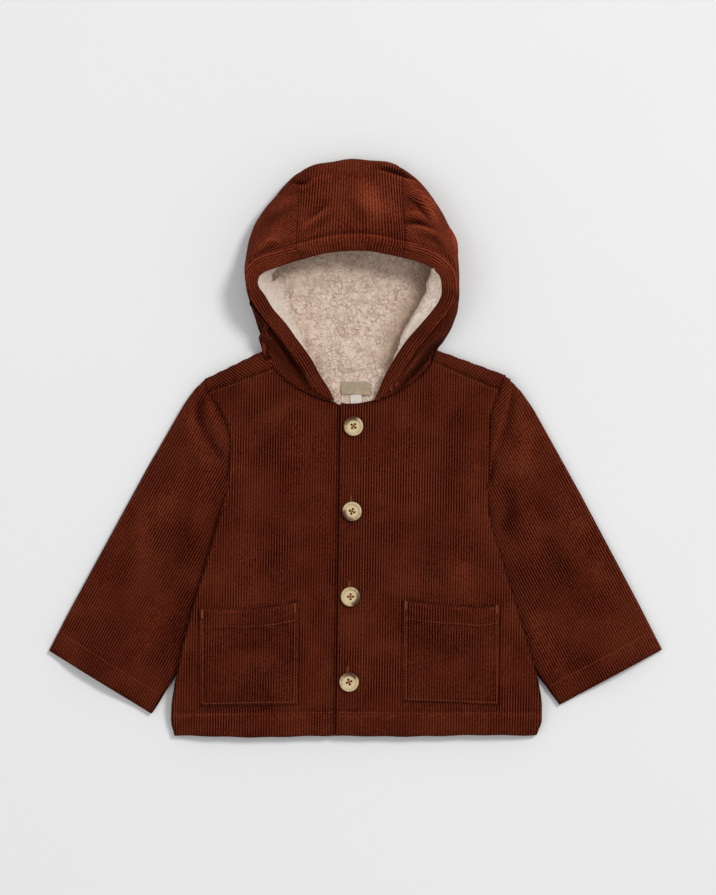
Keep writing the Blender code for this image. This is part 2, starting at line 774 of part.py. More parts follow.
def make_labels():
    """The neck label at the back neck seam, and the size tag that hangs below it."""
    label_z = BODY_WALL + SEAM + BACK_PILE + SEAM + LABEL_WALL
    for name, (width, height), top_y, colour in (
        ("neck_label", LABEL_SIZE, LABEL_TOP_Y, BEIGE),
        ("size_tag", TAG_SIZE, LABEL_TOP_Y - LABEL_SIZE[1] - SEAM, WHITE),
    ):
        left, right, low = LABEL_X - width / 2, LABEL_X + width / 2, top_y - height
        corners = (((left, low), (right, low)), ((left, top_y), (right, top_y)))
        make_patch(name, corners, LABEL_WALL, colour, lambda x, y: label_z, (4, 3))


def button_mesh():
    """A turned button with a raised rim and a dished face, standing on z = 0, with no holes yet."""
    radius, thick = BUTTON_DIAMETER / 2, BUTTON_THICKNESS
    profile = (
        (0, 0),
        (radius * 0.7, 0),
        (radius * 0.97, thick * 0.35),
        (radius, thick * 0.6),
        (radius * 0.93, thick * 0.95),
        (radius * 0.82, thick),
        (radius * 0.68, thick * 0.72),
        (0, thick * 0.66),
    )
    mesh = bpy.data.meshes.new("button")
    work = bmesh.new()
    points = [work.verts.new((r * MM, 0, z * MM)) for r, z in profile]
    edges = [work.edges.new(pair) for pair in zip(points, points[1:])]
    bmesh.ops.spin(
        work,
        geom=points + edges,
        cent=(0, 0, 0),
        axis=(0, 0, 1),
        angle=math.tau,
        steps=BUTTON_SIDES,
        use_merge=True,
    )
    bmesh.ops.remove_doubles(work, verts=work.verts, dist=MM / 100)
    bmesh.ops.recalc_face_normals(work, faces=work.faces)
    work.to_mesh(mesh)
    work.free()
    return mesh


def make_hole_cutter(cutters):
    """The four thread holes of a button, as one cutter."""
    work = bmesh.new()
    for i in range(4):
        turn = math.radians(45 + 90 * i)
        spot = Vector((math.cos(turn), math.sin(turn), 0)) * BUTTON_HOLE_SPREAD * MM
        made = bmesh.ops.create_cone(
            work,
            cap_ends=True,
            segments=8,
            radius1=BUTTON_HOLE_RADIUS * MM,
            radius2=BUTTON_HOLE_RADIUS * MM,
            depth=4 * BUTTON_THICKNESS * MM,
        )
        bmesh.ops.translate(work, verts=made["verts"], vec=spot)
    mesh = bpy.data.meshes.new("button_holes")
    work.to_mesh(mesh)
    work.free()
    cutter = bpy.data.objects.new("button_holes", mesh)
    cutter.hide_render = True
    cutter.display_type = "WIRE"
    cutters.objects.link(cutter)
    return cutter


def make_buttons(cutters):
    mesh = button_mesh()
    for i in range(BUTTONS):
        x, y = BUTTON_TOP[0] + i * BUTTON_STEP[0], BUTTON_TOP[1] + i * BUTTON_STEP[1]
        place = Vector((x, y, over_z(x, y) + BUTTON_SHANK)) * MM
        button = add_object(f"button_{i + 1}", mesh.copy(), HORN, 0.35)
        button.location = place
        cutter = make_hole_cutter(cutters)
        cutter.location = place
        holes = button.modifiers.new("holes", "BOOLEAN")
        holes.operation = "DIFFERENCE"
        holes.object = cutter


def add_collection(name):
    made = bpy.data.collections.new(name)
    bpy.context.scene.collection.children.link(made)
    return made


def main():
    for thing in list(bpy.data.objects):
        bpy.data.objects.remove(thing)
    add_collection("corduroy_coat")
    cutters = add_collection("cutters")
    make_back()
    make_front("front_left", "left", under_z, (-10, -5, -0.5, 12, 24))
    make_front("front_right", "right", over_z, (30, 18, 8, 0))
    for name in SLEEVES:
        make_sleeve(name)
    for pocket in POCKETS:
        make_pocket(pocket)
    for name in HOOD_PANELS:
        make_hood_panel(name)
    make_hood_lining()
    make_back_lining()
    make_labels()
    make_buttons(cutters)


main()
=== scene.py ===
"""A baby's hooded corduroy coat laid flat: its cloth, pile lining, stitching, buttons and light.

Lengths are in millimetres until a mesh is made. X runs right, Y from hem to hood and Z up. Left and
right are as seen from above. The shapes repeat the model's own sizes, so that the pieces lie on it.
"""

import math
from collections import namedtuple

import bmesh
import bpy
import numpy as np
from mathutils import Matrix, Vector, noise

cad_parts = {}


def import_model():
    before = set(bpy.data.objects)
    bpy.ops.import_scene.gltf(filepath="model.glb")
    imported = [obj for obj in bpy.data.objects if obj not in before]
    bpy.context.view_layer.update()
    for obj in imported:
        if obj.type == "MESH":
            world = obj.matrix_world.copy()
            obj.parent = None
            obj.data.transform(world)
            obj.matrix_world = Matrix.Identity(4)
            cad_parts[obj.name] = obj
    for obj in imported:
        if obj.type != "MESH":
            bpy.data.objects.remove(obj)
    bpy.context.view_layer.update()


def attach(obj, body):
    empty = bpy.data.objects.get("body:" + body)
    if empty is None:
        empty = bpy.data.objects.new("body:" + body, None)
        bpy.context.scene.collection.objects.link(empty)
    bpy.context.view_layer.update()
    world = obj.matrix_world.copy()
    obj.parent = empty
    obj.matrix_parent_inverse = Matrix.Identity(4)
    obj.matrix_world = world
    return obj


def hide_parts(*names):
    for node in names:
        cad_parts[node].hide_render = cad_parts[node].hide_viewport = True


MM = 0.001
# A wale's width, and how far its top stands over its grooves.
PITCH = 2.36
WALE_RELIEF = 0.32
# How far a panel runs on under its neighbour, and the step between its rows.
TUCK = 1.8
ROW_STEP = 4.0
# How thick each panel's shell is.
BODY_CLOTH = 2.2
SLEEVE_CLOTH = 1.7
HOOD_CLOTH = 1.2
POCKET_CLOTH = 1.1

# The body, in the model's own sizes.
SEAM = 0.3
Outline = namedtuple("Outline", "y left right")
OUTLINE = (
    Outline(66, -131, 131),
    Outline(52, -131, 128),
    Outline(30, -118, 120),
    Outline(10, -111, 119),
    Outline(-24, -113, 119),
    Outline(-60, -121, 119),
    Outline(-100, -132, 131),
    Outline(-150, -147, 146),
    Outline(-200, -158, 160),
    Outline(-238, -163, 165),
    Outline(-254, -160, 160),
)
HEM_Y = -254
UNDERARM_Y = -24
MIDDLE_DEPTH = 11
SIDE_DEPTH = 7.8
ARMHOLE_DEPTH = 9.6
SLEEVE_LIFT = 6.6
LIFT_ENDS_Y = -226
BODY_WALL = 3.3
HOOD_WALL = 1.6
POCKET_WALL = 1.3

NECK_X = -4.5
NECK_HALF_WIDTH = 75.5
NECK_Y = 87
NeckLine = namedtuple("NeckLine", "drop power")
FRONT_NECK = NeckLine(49.5, 1.7)
BACK_NECK = NeckLine(28, 2)
ShoulderLine = namedtuple("ShoulderLine", "neck_x tip_x tip_y neck")
Shoulder = namedtuple("Shoulder", "fold seam")
SHOULDERS = {
    "left": Shoulder(
        fold=ShoulderLine(-80, -131, 62, BACK_NECK), seam=ShoulderLine(-73, -131, 50, FRONT_NECK)
    ),
    "right": Shoulder(
        fold=ShoulderLine(71, 131, 65, BACK_NECK), seam=ShoulderLine(68, 128, 51.5, FRONT_NECK)
    ),
}
OVERLAP_EDGE_TOP_X = -13.5
OVERLAP_EDGE_HEM_X = -17.5
OVERLAP_RISE = 0.5
UNDERLAP = 24
FACING = 22.5
HEM_BAND = 20
# Just outside the flat cuts of the fronts and of the back: left, right and top.
FRONTS_BOX = (-166, 168, 92)
BACK_BOX = (-168, 170, 112)


def smooth(t):
    t = np.clip(t, 0, 1)
    return t * t * (3 - 2 * t)


def mix(a, b, t):
    return a + (b - a) * t


def bump(distance, width):
    """1 at no distance, falling softly to 0 at about twice the width."""
    return np.exp(-((distance / width) ** 2))


def eased(values, at):
    """A Catmull-Rom curve through evenly spaced values or points, where at counts from 0."""
    values = np.asarray(values, float)
    at = np.clip(at, 0, len(values) - 1)
    i = np.minimum(np.asarray(at).astype(int), len(values) - 2)
    t = np.reshape(at - i, np.shape(at) + (1,) * (values.ndim - 1))
    row = np.concatenate([[2 * values[0] - values[1]], values, [2 * values[-1] - values[-2]]])
    before, a, b, after = row[i], row[i + 1], row[i + 2], row[i + 3]
    slope_a, slope_b = (b - before) * 0.5, (after - a) * 0.5
    return (
        a * (2 * t**3 - 3 * t**2 + 1)
        + slope_a * (t**3 - 2 * t**2 + t)
        + b * (3 * t**2 - 2 * t**3)
        + slope_b * (t**3 - t**2)
    )


# ---------------------------------------------------------------- the body's surfaces


def side_x(side, y):
    at = np.interp(-np.asarray(y, float), [-row.y for row in OUTLINE], range(len(OUTLINE)))
    return eased([getattr(row, side) for row in OUTLINE], at)


def inset_from(side, x, y):
    """How far in from the body's left or right edge a place is."""
    edge = side_x(side, y)
    return x - edge if side == "left" else edge - x


def neck_y(x, line):
    """The front or back edge of the neck's opening, a rounded U."""
    across = np.minimum(np.abs(x - NECK_X) / NECK_HALF_WIDTH, 1)
    return NECK_Y - line.drop * (1 - across**line.power) ** (1 / line.power)


def line_neck_y(line):
    return float(neck_y(line.neck_x, line.neck))


def line_y(line, x):
    """Height in plan of a shoulder's fold or seam."""
    return mix(line_neck_y(line), line.tip_y, (x - line.neck_x) / (line.tip_x - line.neck_x))


def front_top_y(x):
    """The fronts' upper edge: the neck, with a shoulder seam on each side."""
    left, right = SHOULDERS["left"].seam, SHOULDERS["right"].seam
    middle = neck_y(x, FRONT_NECK)
    top = np.where(x < left.neck_x, line_y(left, x), middle)
    return np.where(x > right.neck_x, line_y(right, x), top) - SEAM / 2


def from_side(x, y):
    """How far in from the nearer side of the body a place is."""
    return np.maximum(np.minimum(x - side_x("left", y), side_x("right", y) - x), 0)


def below_underarm(y):
    """1 down the sides, which are folds, and 0 along the armholes, which are seams."""
    return smooth((UNDERARM_Y + 4 - y) / 16)


def back_z(x, y):
    """Height of the back's underside: it is lifted where a sleeve lies under it."""
    along = smooth((UNDERARM_Y - 6 - y) / 40) * smooth((y - HEM_Y - 6) / (LIFT_ENDS_Y - HEM_Y))
    return SLEEVE_LIFT * along * (1 - smooth((from_side(x, y) - 10) / 24))


def front_z(x, y):
    """Height of the body's top."""
    edge = mix(ARMHOLE_DEPTH, SIDE_DEPTH, below_underarm(y))
    return back_z(x, y) + mix(edge, MIDDLE_DEPTH, smooth(from_side(x, y) / 35))


def overlap_edge_x(y):
    """The right front's edge, where it lies over the left one."""
    return mix(OVERLAP_EDGE_HEM_X, OVERLAP_EDGE_TOP_X, (y - HEM_Y) / (37 - HEM_Y))


def over_z(x, y):
    """Height of the right front, which rises a little over the left one."""
    return front_z(x, y) + OVERLAP_RISE * (1 - smooth((x - overlap_edge_x(y) - 18) / 12))


def under_z(x, y):
    """Height of the left front, which dips under the right one."""
    dip = BODY_WALL + SEAM - OVERLAP_RISE
    return front_z(x, y) - dip * smooth((x - overlap_edge_x(y) + 9) / 8.5)


def rounded(distance, radius, depth):
    """How far a turned edge drops at a distance from it. It drops on past a seam, out of sight."""
    t = 1 - np.clip(distance / radius, 0, 1)
    return depth * (1 - np.sqrt(1 - t * t)) + 1.3 * np.maximum(-distance, 0)


def seam_dip(distance, depth=0.9, width=2.2):
    return depth * bump(distance, width)


# ---------------------------------------------------------------- creases

# A crease is a soft ridge (height over 0) or trough along a bent line on a surface.
Crease = namedtuple("Crease", "x1 y1 xm ym x2 y2 width height")


def polyline_distance(x, y, points):
    """Distance to a polyline, and how far along it the nearest point is, from 0 to 1."""
    best = np.full(np.shape(x), 1e9)
    along = np.zeros(np.shape(x))
    points = np.asarray(points, float)
    lengths = np.hypot(*(points[1:] - points[:-1]).T)
    total, gone = lengths.sum(), 0.0
    for (ax, ay), (bx, by), length in zip(points, points[1:], lengths):
        if length < 1e-6:
            continue
        dx, dy = (bx - ax) / length, (by - ay) / length
        t = np.clip((x - ax) * dx + (y - ay) * dy, 0, length)
        d = np.hypot(x - ax - t * dx, y - ay - t * dy)
        along = np.where(d < best, (gone + t) / total, along)
        best = np.minimum(best, d)
        gone += length
    return best, along


def depth_in(ring, x, y):
    """Distance inside a closed ring of points, and below 0 outside it."""
    d, _ = polyline_distance(x, y, np.concatenate([ring, ring[:1]]))
    within = np.zeros(np.shape(x), bool)
    px, py = ring.T
    for ax, ay, bx, by in zip(px, py, np.roll(px, -1), np.roll(py, -1)):
        if ay != by:
            within = within ^ (((ay > y) != (by > y)) & (x < (bx - ax) * (y - ay) / (by - ay) + ax))
    return np.where(within, d, -d)


def curve_points(*knots, steps=6):
    """Points on a smooth curve through knots."""
    return eased(knots, np.linspace(0, len(knots) - 1, (len(knots) - 1) * steps + 1))


def creases_z(x, y, creases):
    """How much the creases lift each place."""
    z = np.zeros(np.shape(x))
    for c in creases:
        points = curve_points((c.x1, c.y1), (c.xm, c.ym), (c.x2, c.y2))
        d, along = polyline_distance(x, y, points)
        z = z + c.height * bump(d, c.width) * np.sin(np.pi * np.clip(along, 0.04, 0.96)) ** 0.6
    return z


def lumps(x, y, size, seed):
    """Soft unevenness of cloth, from -1 to 1: a sum of slow waves in several directions."""
    rng = np.random.default_rng(seed)
    total = np.zeros(np.shape(x))
    for _ in range(7):
        turn, phase, scale = rng.uniform(0, math.tau), rng.uniform(0, math.tau), rng.uniform(0.6, 1.8)
        k = math.tau / (size * scale)
        total = total + np.sin(k * (x * math.cos(turn) + y * math.sin(turn)) + phase)
    return total / 4


# ---------------------------------------------------------------- meshes cut along the wales


def spans_of(us, inside, low, high):
    """For each column at u, the stretches of v where inside(u, v) is over 0."""
    vs = np.linspace(low, high, int(high - low) + 1)
    u, v = np.meshgrid(us, vs, indexing="ij")
    f = inside(u, v)
    ins = f > 0
    i, j = np.nonzero(ins[:, 1:] != ins[:, :-1])
    low_end, high_end, low_in = vs[j].copy(), vs[j + 1].copy(), ins[i, j]
    for _ in range(14):
        middle = (low_end + high_end) / 2
        same = (inside(us[i], middle) > 0) == low_in
        low_end, high_end = np.where(same, middle, low_end), np.where(same, high_end, middle)
    crossing = (low_end + high_end) / 2
    spans = []
    for column, row in enumerate(ins):
        ends = ([vs[0]] if row[0] else []) + list(crossing[i == column]) + ([vs[-1]] if row[-1] else [])
        spans.append([pair for pair in zip(ends[::2], ends[1::2]) if pair[1] - pair[0] > 0.6])
    return spans


def rows_in(low, high, step):
    """Both ends of a stretch, and the even steps between them."""
    first, last = math.ceil(low / step + 0.25), math.floor(high / step - 0.25)
    return [low] + [k * step for k in range(first, last + 1)] + [high]


def zip_columns(a, b, faces):
    """Fills the strip between two columns, each a list of (v, vertex) upwards."""
    i = j = 0
    while i < len(a) - 1 or j < len(b) - 1:
        next_a = a[i + 1][0] if i < len(a) - 1 else math.inf
        next_b = b[j + 1][0] if j < len(b) - 1 else math.inf
        if abs(next_a - next_b) < 1e-6:
            faces.append((a[i][1], b[j][1], b[j + 1][1], a[i + 1][1]))
            i, j = i + 1, j + 1
        elif next_a < next_b:
            faces.append((a[i][1], b[j][1], a[i + 1][1]))
            i += 1
        else:
            faces.append((a[i][1], b[j][1], b[j + 1][1]))
            j += 1


def part_of(column, low, high):
    """The points of a column from the one nearest low to the one nearest high."""
    vs = [v for v, _ in column]
    first = min(range(len(vs)), key=lambda k: abs(vs[k] - low))
    last = min(range(len(vs)), key=lambda k: abs(vs[k] - high))
    return column[first : last + 1]


def cut_sheet(us, inside, low, high, step=ROW_STEP):
    """A flat mesh of columns along the wales, cut to an outline: (points as (u, v), faces)."""
    points, faces, before = [], [], []
    for u, spans in zip(us, spans_of(us, inside, low, high)):
        here = []
        for span in spans:
            column = []
            for v in rows_in(*span, step):
                column.append((v, len(points)))
                points.append((u, v))
            here.append(column)
        for old in before:
            for new in here:
                bottom, top = max(old[0][0], new[0][0]), min(old[-1][0], new[-1][0])
                if top - bottom < 0.3:
                    continue
                a = part_of(old, new[0][0], new[-1][0]) if len(here) > 1 else old
                b = part_of(new, old[0][0], old[-1][0]) if len(before) > 1 else new
                if len(a) and len(b):
                    zip_columns(a, b, faces)
        before = here
    return np.array(points), faces


def wale_columns(low, high, start=0.0):
    """Columns on the wales' tops and grooves, with more near both ends, where cloth turns over."""
    half = PITCH / 2
    us = start + half * np.arange(math.floor((low - start) / half), math.ceil((high - start) / half) + 1)
    between = (us[:-1] + us[1:]) / 2
    return np.sort(np.concatenate([us, between[:8], between[-8:]]))


def raise_wales(piece):
    """Lifts each wale's top and lowers its grooves, along the cloth's normals."""
    mesh = piece.data
    count = len(mesh.vertices)
    spots, normals, grain = (np.empty(count * 3, np.float32) for _ in range(3))
    mesh.vertices.foreach_get("co", spots)
    mesh.vertex_normals.foreach_get("vector", normals)
    mesh.attributes["grain"].data.foreach_get("vector", grain)
    lift = -0.5 * WALE_RELIEF * MM * np.cos(math.tau * grain.reshape(-1, 3)[:, 0])
    spots = spots.reshape(-1, 3) + normals.reshape(-1, 3) * lift[:, None]
    spots[:, 2] = np.maximum(spots[:, 2], 0)
    mesh.vertices.foreach_set("co", spots.ravel())
    mesh.update()


def add_object(name, data):
    made = bpy.data.objects.new(name, data)
    bpy.context.scene.collection.objects.link(made)
    return made


def add_wall(piece, thick, even=False):
    """Gives a sheet its thickness, inwards."""
    shell = piece.modifiers.new("wall", "SOLIDIFY")
    shell.thickness = thick * MM
    shell.offset = -1
    shell.use_quality_normals = even


def make_mesh(name, points, faces, grain, thick=0.0):
    """The piece that shows in place of the model's node of this name, from points in millimetres."""
    mesh = bpy.data.meshes.new(name)
    mesh.from_pydata((np.asarray(points) * MM).tolist(), [], [tuple(map(int, f)) for f in faces])
    # The grain attribute carries what the shaders read: on the corduroy, the wales and painted light and
    # shade; on the pile, its height, its walls and painted shadow.
    data = mesh.attributes.new("grain", "FLOAT_VECTOR", "POINT")
    data.data.foreach_set("vector", np.asarray(grain, np.float32).ravel())
    mesh.validate()
    mesh.polygons.foreach_set("use_smooth", [True] * len(mesh.polygons))
    piece = add_object(f"{name}_cloth", mesh)
    if thick:
        add_wall(piece, thick, even=True)
    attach(piece, "root")
    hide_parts(name)
    return piece


def grain_of(u, v, look=0.0):
    """What the corduroy's shader reads: wales across, millimetres along, and its painted light and shade.
    """
    return np.stack([u / PITCH, v, look + np.zeros(np.shape(u))], -1)


# ---------------------------------------------------------------- the fronts

FRONT_CREASES = (
    Crease(-104, 18, -100, -8, -104, -40, 7, 0.9),
    Crease(-95, 40, -84, 10, -84, -30, 9, -0.8),
    Crease(-60, 46, -52, 8, -55, -60, 13, 0.7),
    Crease(-32, 20, -30, -40, -34, -110, 8, 0.5),
    Crease(-100, -60, -92, -110, -104, -160, 12, 0.8),
    Crease(-66, -70, -72, -120, -62, -165, 12, -0.7),
    Crease(-130, -150, -128, -190, -140, -235, 9, 0.9),
    Crease(92, 34, 82, 4, 86, -40, 9, -0.9),
    Crease(108, 20, 104, -12, 108, -48, 7, 0.9),
    Crease(52, 44, 44, 4, 50, -60, 13, 0.7),
    Crease(24, 24, 22, -30, 26, -100, 8, 0.5),
    Crease(104, -60, 92, -100, 104, -150, 11, 0.9),
    Crease(70, -66, 66, -110, 76, -160, 12, -0.7),
    Crease(134, -160, 132, -196, 142, -236, 9, 0.9),
    Crease(-20, -100, -6, -108, 20, -104, 9, 0.3),
    Crease(8, -60, 14, -120, 8, -190, 7, -0.35),
)


def front_surface(x, y, top_z, side):
    """The top of a front, with its turned edges, hem and seams."""
    flat = top_z(x, y)
    edge = side_x(side, y)
    middle = (back_z(edge, y) + front_z(edge, y)) / 2 + SEAM / 2
    inset = inset_from(side, x, y)
    below = below_underarm(y)
    z = flat - below * rounded(np.abs(inset), SIDE_DEPTH / 2, 1) * (flat - middle)
    z = z - (1 - below) * rounded(inset, 2.4, 2.2)
    z = z - rounded(front_top_y(x) - y, 2.0, 1.6)
    z = z - rounded(y - HEM_Y, 2.2, 2.6)
    z = z - seam_dip(y - HEM_Y - HEM_BAND, 0.55, 1.3)
    z = z + 0.25 * smooth((HEM_Y + HEM_BAND - y) / 4)
    fade = smooth((inset - 3) / 10) * smooth((y - HEM_Y - 22) / 12)
    return z + fade * (creases_z(x, y, FRONT_CREASES) + 0.35 * lumps(x, y, 46, 4))


def front_painted_light(x, y, side):
    """Painted light and shade on a front's pile: lighter or darker along its folds, seams, hem and sides.
    """
    inset = inset_from(side, x, y)
    up, over_band = y - HEM_Y, y - HEM_Y - HEM_BAND
    look = 0.45 * creases_z(x, y, FRONT_CREASES) * smooth((inset - 3) / 10)
    look = look - np.where(y < UNDERARM_Y + 10, 1.8, 0.7) * bump(inset, 1.3) + 0.5 * bump(inset - 3.4, 1.4)
    look = look - 0.7 * bump(front_top_y(x) - y, 1.4) + 0.5 * bump(up - 1.2, 1.1)
    look = look - 0.9 * bump(over_band - 1.2, 1.0) + 0.7 * bump(over_band + 1.6, 1.2)
    # Painted shadow round each pocket, darker near its top.
    for pocket in POCKETS:
        near = (x > pocket.left - 8) & (x < pocket.right + 8) & (y < POCKETS_HIGH_Y + 2)
        d, _ = polyline_distance(x, y, [*pocket.corners, pocket.corners[0]])
        look = look - np.where(y > pocket.corners[0][1] - 20, 1.2, 0.6) * bump(d, 1.5) * near
    # On the right front, a painted highlight along its turned edge and painted shade at the facing's
    # stitches; on the left, the painted shadow of the right front's edge.
    lap = x - overlap_edge_x(y)
    if side == "right":
        return look + 0.5 * bump(lap - 1.4, 0.9) - 0.3 * bump(lap - FACING, 1.0)
    return look - 0.9 * bump(lap + 1.2, 1.8)


def hem_wave(x, y):
    """How far the hem hangs below its line."""
    drop = 1.5 * bump(x + 88, 42) + 0.8 * bump(x - 40, 40) - 0.5 * bump(x - 110, 30)
    return -(drop + 0.25 * np.sin(x / 5.5)) * smooth((HEM_Y + 34 - y) / 34)


def over_surface(x, y):
    """The right front's top, with its turned edge and its facing's stitches."""
    z = front_surface(x, y, over_z, "right")
    lap = x - overlap_edge_x(y)
    z = z - rounded(lap, 1.9, 2.6) - seam_dip(lap - FACING, 0.5, 1.2)
    return z + 0.25 * bump(lap - 8, 5)


def under_surface(x, y):
    return front_surface(x, y, under_z, "left")


def lean(y):
    """How far right the wales have gone at a height, as they run along the fronts' opening."""
    return overlap_edge_x(y) - OVERLAP_EDGE_HEM_X


def make_front(name, side, surface):
    def inside(u, v):
        x = u + lean(v)
        lap = overlap_edge_x(v)
        other = (lap + UNDERLAP - x) if side == "left" else (x - lap)
        past = TUCK * (1 - below_underarm(v))
        return np.minimum(np.minimum(inset_from(side, x, v) + past, other), front_top_y(x) + TUCK - v)

    low, high, top = FRONTS_BOX
    if side == "left":
        high = OVERLAP_EDGE_HEM_X + UNDERLAP
    else:
        low = OVERLAP_EDGE_HEM_X
    us = wale_columns(low, high, OVERLAP_EDGE_HEM_X)
    uv, faces = cut_sheet(us, inside, HEM_Y, top)
    u, v = uv.T
    x = u + lean(v)
    points = np.stack([x, v + hem_wave(x, v), surface(x, v)], 1)
    grain = grain_of(u - OVERLAP_EDGE_HEM_X, v, front_painted_light(x, v, side))
    piece = make_mesh(name, points, faces, grain, BODY_CLOTH)
    raise_wales(piece)
    return piece


# ---------------------------------------------------------------- the back


FLAP_RADIUS = 5.2
FLAP_HALF_TURN = math.pi * FLAP_RADIUS


def flap_of(side, x, y):
    """Where a flat point of the back lies when the shoulder is turned forward: x, y, z, and turn."""
    fold = SHOULDERS[side].fold
    start = np.array([fold.neck_x, line_neck_y(fold)])
    end = np.array([fold.tip_x, fold.tip_y])
    run = (end - start) / np.hypot(*(end - start))
    out = np.array([run[1], -run[0]])
    out = out * math.copysign(1, out[1])
    t = (x - start[0]) * out[0] + (y - start[1]) * out[1] + FLAP_RADIUS
    over = np.clip(t, 0, FLAP_HALF_TURN)
    past = np.maximum(t - FLAP_HALF_TURN, 0)
    reach = FLAP_RADIUS * np.sin(over / FLAP_RADIUS) - past
    moved = (reach - t) * (t > 0)
    new_x, new_y = x + moved * out[0], y + moved * out[1]
    z = FLAP_RADIUS * (1 - np.cos(over / FLAP_RADIUS))
    z = np.where(t > FLAP_HALF_TURN * 0.6, mix(z, front_z(new_x, new_y), smooth(past / 5)), z)
    return new_x, new_y, np.where(t > 0, z, 0), t / FLAP_RADIUS


def back_place(x, y):
    """flap_of, for the side that each point is on."""
    return [np.where(x < NECK_X, a, b) for a, b in zip(flap_of("left", x, y), flap_of("right", x, y))]


def back_inside(x, y):
    """Over 0 on the back's flat cut: inside its sides, its neck and its shoulders' seams."""
    new_x, new_y, _, turn = back_place(x, y)
    past = TUCK * (1 - below_underarm(new_y))
    low_y = np.clip(new_y, HEM_Y, OUTLINE[0].y)
    sides = np.minimum(new_x - side_x("left", low_y), side_x("right", low_y) - new_x) + past
    neck = neck_y(x, BACK_NECK) - SEAM / 2 - y
    between = np.minimum(x - SHOULDERS["left"].fold.neck_x, SHOULDERS["right"].fold.neck_x - x)
    top = np.where(between > 0, np.maximum(neck, -between), 1e3)
    for side, sign in (("left", -1), ("right", 1)):
        fold, seam = SHOULDERS[side]
        share = (new_y - line_neck_y(seam)) / (line_neck_y(fold) - line_neck_y(seam))
        end_x = mix(seam.neck_x, fold.neck_x, np.clip(share, -0.5, 1.5))
        on_side = sign * (x - NECK_X) > 0
        beyond_neck = np.where(on_side & (turn > 0), sign * (new_x - end_x) - SEAM / 2, 1e3)
        seam_gap = np.where(on_side & (turn > 2), new_y - line_y(seam, new_x) + TUCK, 1e3)
        top = np.minimum(top, np.where(turn > 0, np.minimum(beyond_neck, seam_gap), 1e3))
    return np.minimum(sides, top)


def back_surface(x, y):
    """Points of the back's outer side, its shoulders turned forward."""
    new_x, new_y, z, turn = back_place(x, y)
    edge = np.where(x < 0, side_x("left", new_y), side_x("right", new_y))
    inset = np.where(x < 0, new_x - edge, edge - new_x)
    below = below_underarm(new_y)
    flat = back_z(new_x, new_y)
    middle = (back_z(edge, new_y) + front_z(edge, new_y)) / 2 - SEAM / 2
    under = flat + below * rounded(np.abs(inset), SIDE_DEPTH / 2, 1) * (middle - flat)
    under = under + (1 - below) * rounded(inset, 2.4, 2.2) + rounded(new_y - HEM_Y, 2.2, 2.6)
    under = under + seam_dip(new_y - HEM_Y - HEM_BAND, 0.5, 1.3)
    z = np.where(turn > 0, z, under)
    left, right = SHOULDERS["left"].seam, SHOULDERS["right"].seam
    seam_y = np.where(x < NECK_X, line_y(left, new_x), line_y(right, new_x))
    on_top = smooth((turn - 2) / 1.2)
    z = z - on_top * (rounded(new_y - seam_y, 2.0, 1.6) + rounded(inset, 2.4, 2.0))
    return np.stack([new_x, new_y + hem_wave(new_x, new_y), np.maximum(z, 0)], -1)


def make_back():
    left, right, top = BACK_BOX
    uv, faces = cut_sheet(wale_columns(left, right), back_inside, HEM_Y, top, 5.0)
    u, v = uv.T
    faces = [f[::-1] for f in faces]
    piece = make_mesh("back", back_surface(u, v), faces, grain_of(u, v), BODY_CLOTH)
    raise_wales(piece)
    return piece


# ---------------------------------------------------------------- the sleeves

SleeveEdge = namedtuple("SleeveEdge", "outer_x outer_y inner_x inner_y")
SLEEVES = {
    "sleeve_left": (
        SleeveEdge(-133, 60.5, -108, -27),
        SleeveEdge(-147, 45, -113, -50),
        SleeveEdge(-173, 1.5, -122.5, -78),
        SleeveEdge(-199.5, -46, -127.5, -114),
        SleeveEdge(-226, -94.5, -138.5, -150),
        SleeveEdge(-249, -137, -150, -186),
        SleeveEdge(-271, -179, -180, -235),
    ),
    "sleeve_right": (
        SleeveEdge(133, 63.5, 114, -27),
        SleeveEdge(152, 42, 115.5, -50),
        SleeveEdge(181, -8, 119, -80),
        SleeveEdge(207, -56, 127, -116),
        SleeveEdge(234, -106, 138, -150),
        SleeveEdge(252, -141, 150, -184),
        SleeveEdge(271, -178, 180, -227),
    ),
}
SLEEVE_DEPTH = 10.5
SLEEVE_EDGE_DEPTH = 5.6
CUFF_BAND = 18.5
SLEEVE_CREASES = {
    "sleeve_left": (
        Crease(-127, 47, -127, 30, -119, 12, 3.6, 2.0),
        Crease(-134.5, 50, -138.5, 31, -131, 12, 2.6, -2.4),
        Crease(-131, 13, -124, 1, -116, -11, 2.8, -2.0),
        Crease(-141, 44, -145, 28, -139, 8, 3.0, 1.3),
        Crease(-147, 34, -145, 14, -136, -6, 6, 1.4),
        Crease(-128, -2, -132, -34, -140, -70, 8, 1.0),
        Crease(-160, -20, -176, -60, -200, -104, 13, 0.8),
        Crease(-142, -50, -152, -84, -170, -120, 10, -0.9),
        Crease(-206, -90, -222, -124, -240, -150, 10, 0.6),
        Crease(-168, -130, -184, -164, -206, -190, 12, 0.7),
        Crease(-150, -128, -160, -160, -176, -196, 8, -0.7),
    ),
    "sleeve_right": (
        Crease(137, 60, 137, 30, 126, -2, 3.4, -1.6),
        Crease(126, -4, 121, -18, 119, -34, 4, -1.6),
        Crease(127, 44, 127, 20, 121, -10, 5, 1.1),
        Crease(146, 34, 150, 6, 142, -30, 9, 1.2),
        Crease(133, -30, 138, -52, 132, -84, 6, -1.6),
        Crease(146, -40, 156, -74, 160, -110, 11, 0.9),
        Crease(182, -36, 200, -76, 222, -116, 12, 0.8),
        Crease(168, -60, 176, -96, 196, -140, 9, -0.8),
        Crease(214, -130, 224, -152, 240, -172, 9, 0.6),
        Crease(150, -140, 168, -176, 186, -206, 9, 0.8),
    ),
}


def armhole_points(side, past=0.0):
    """The armhole from the shoulder down, or a line that runs past it under the body."""
    ys = np.linspace(SHOULDERS[side].fold.tip_y - 1.0, UNDERARM_Y - 2, 40)
    out = past if side == "left" else -past
    return np.stack([side_x(side, ys) + out, ys], 1)


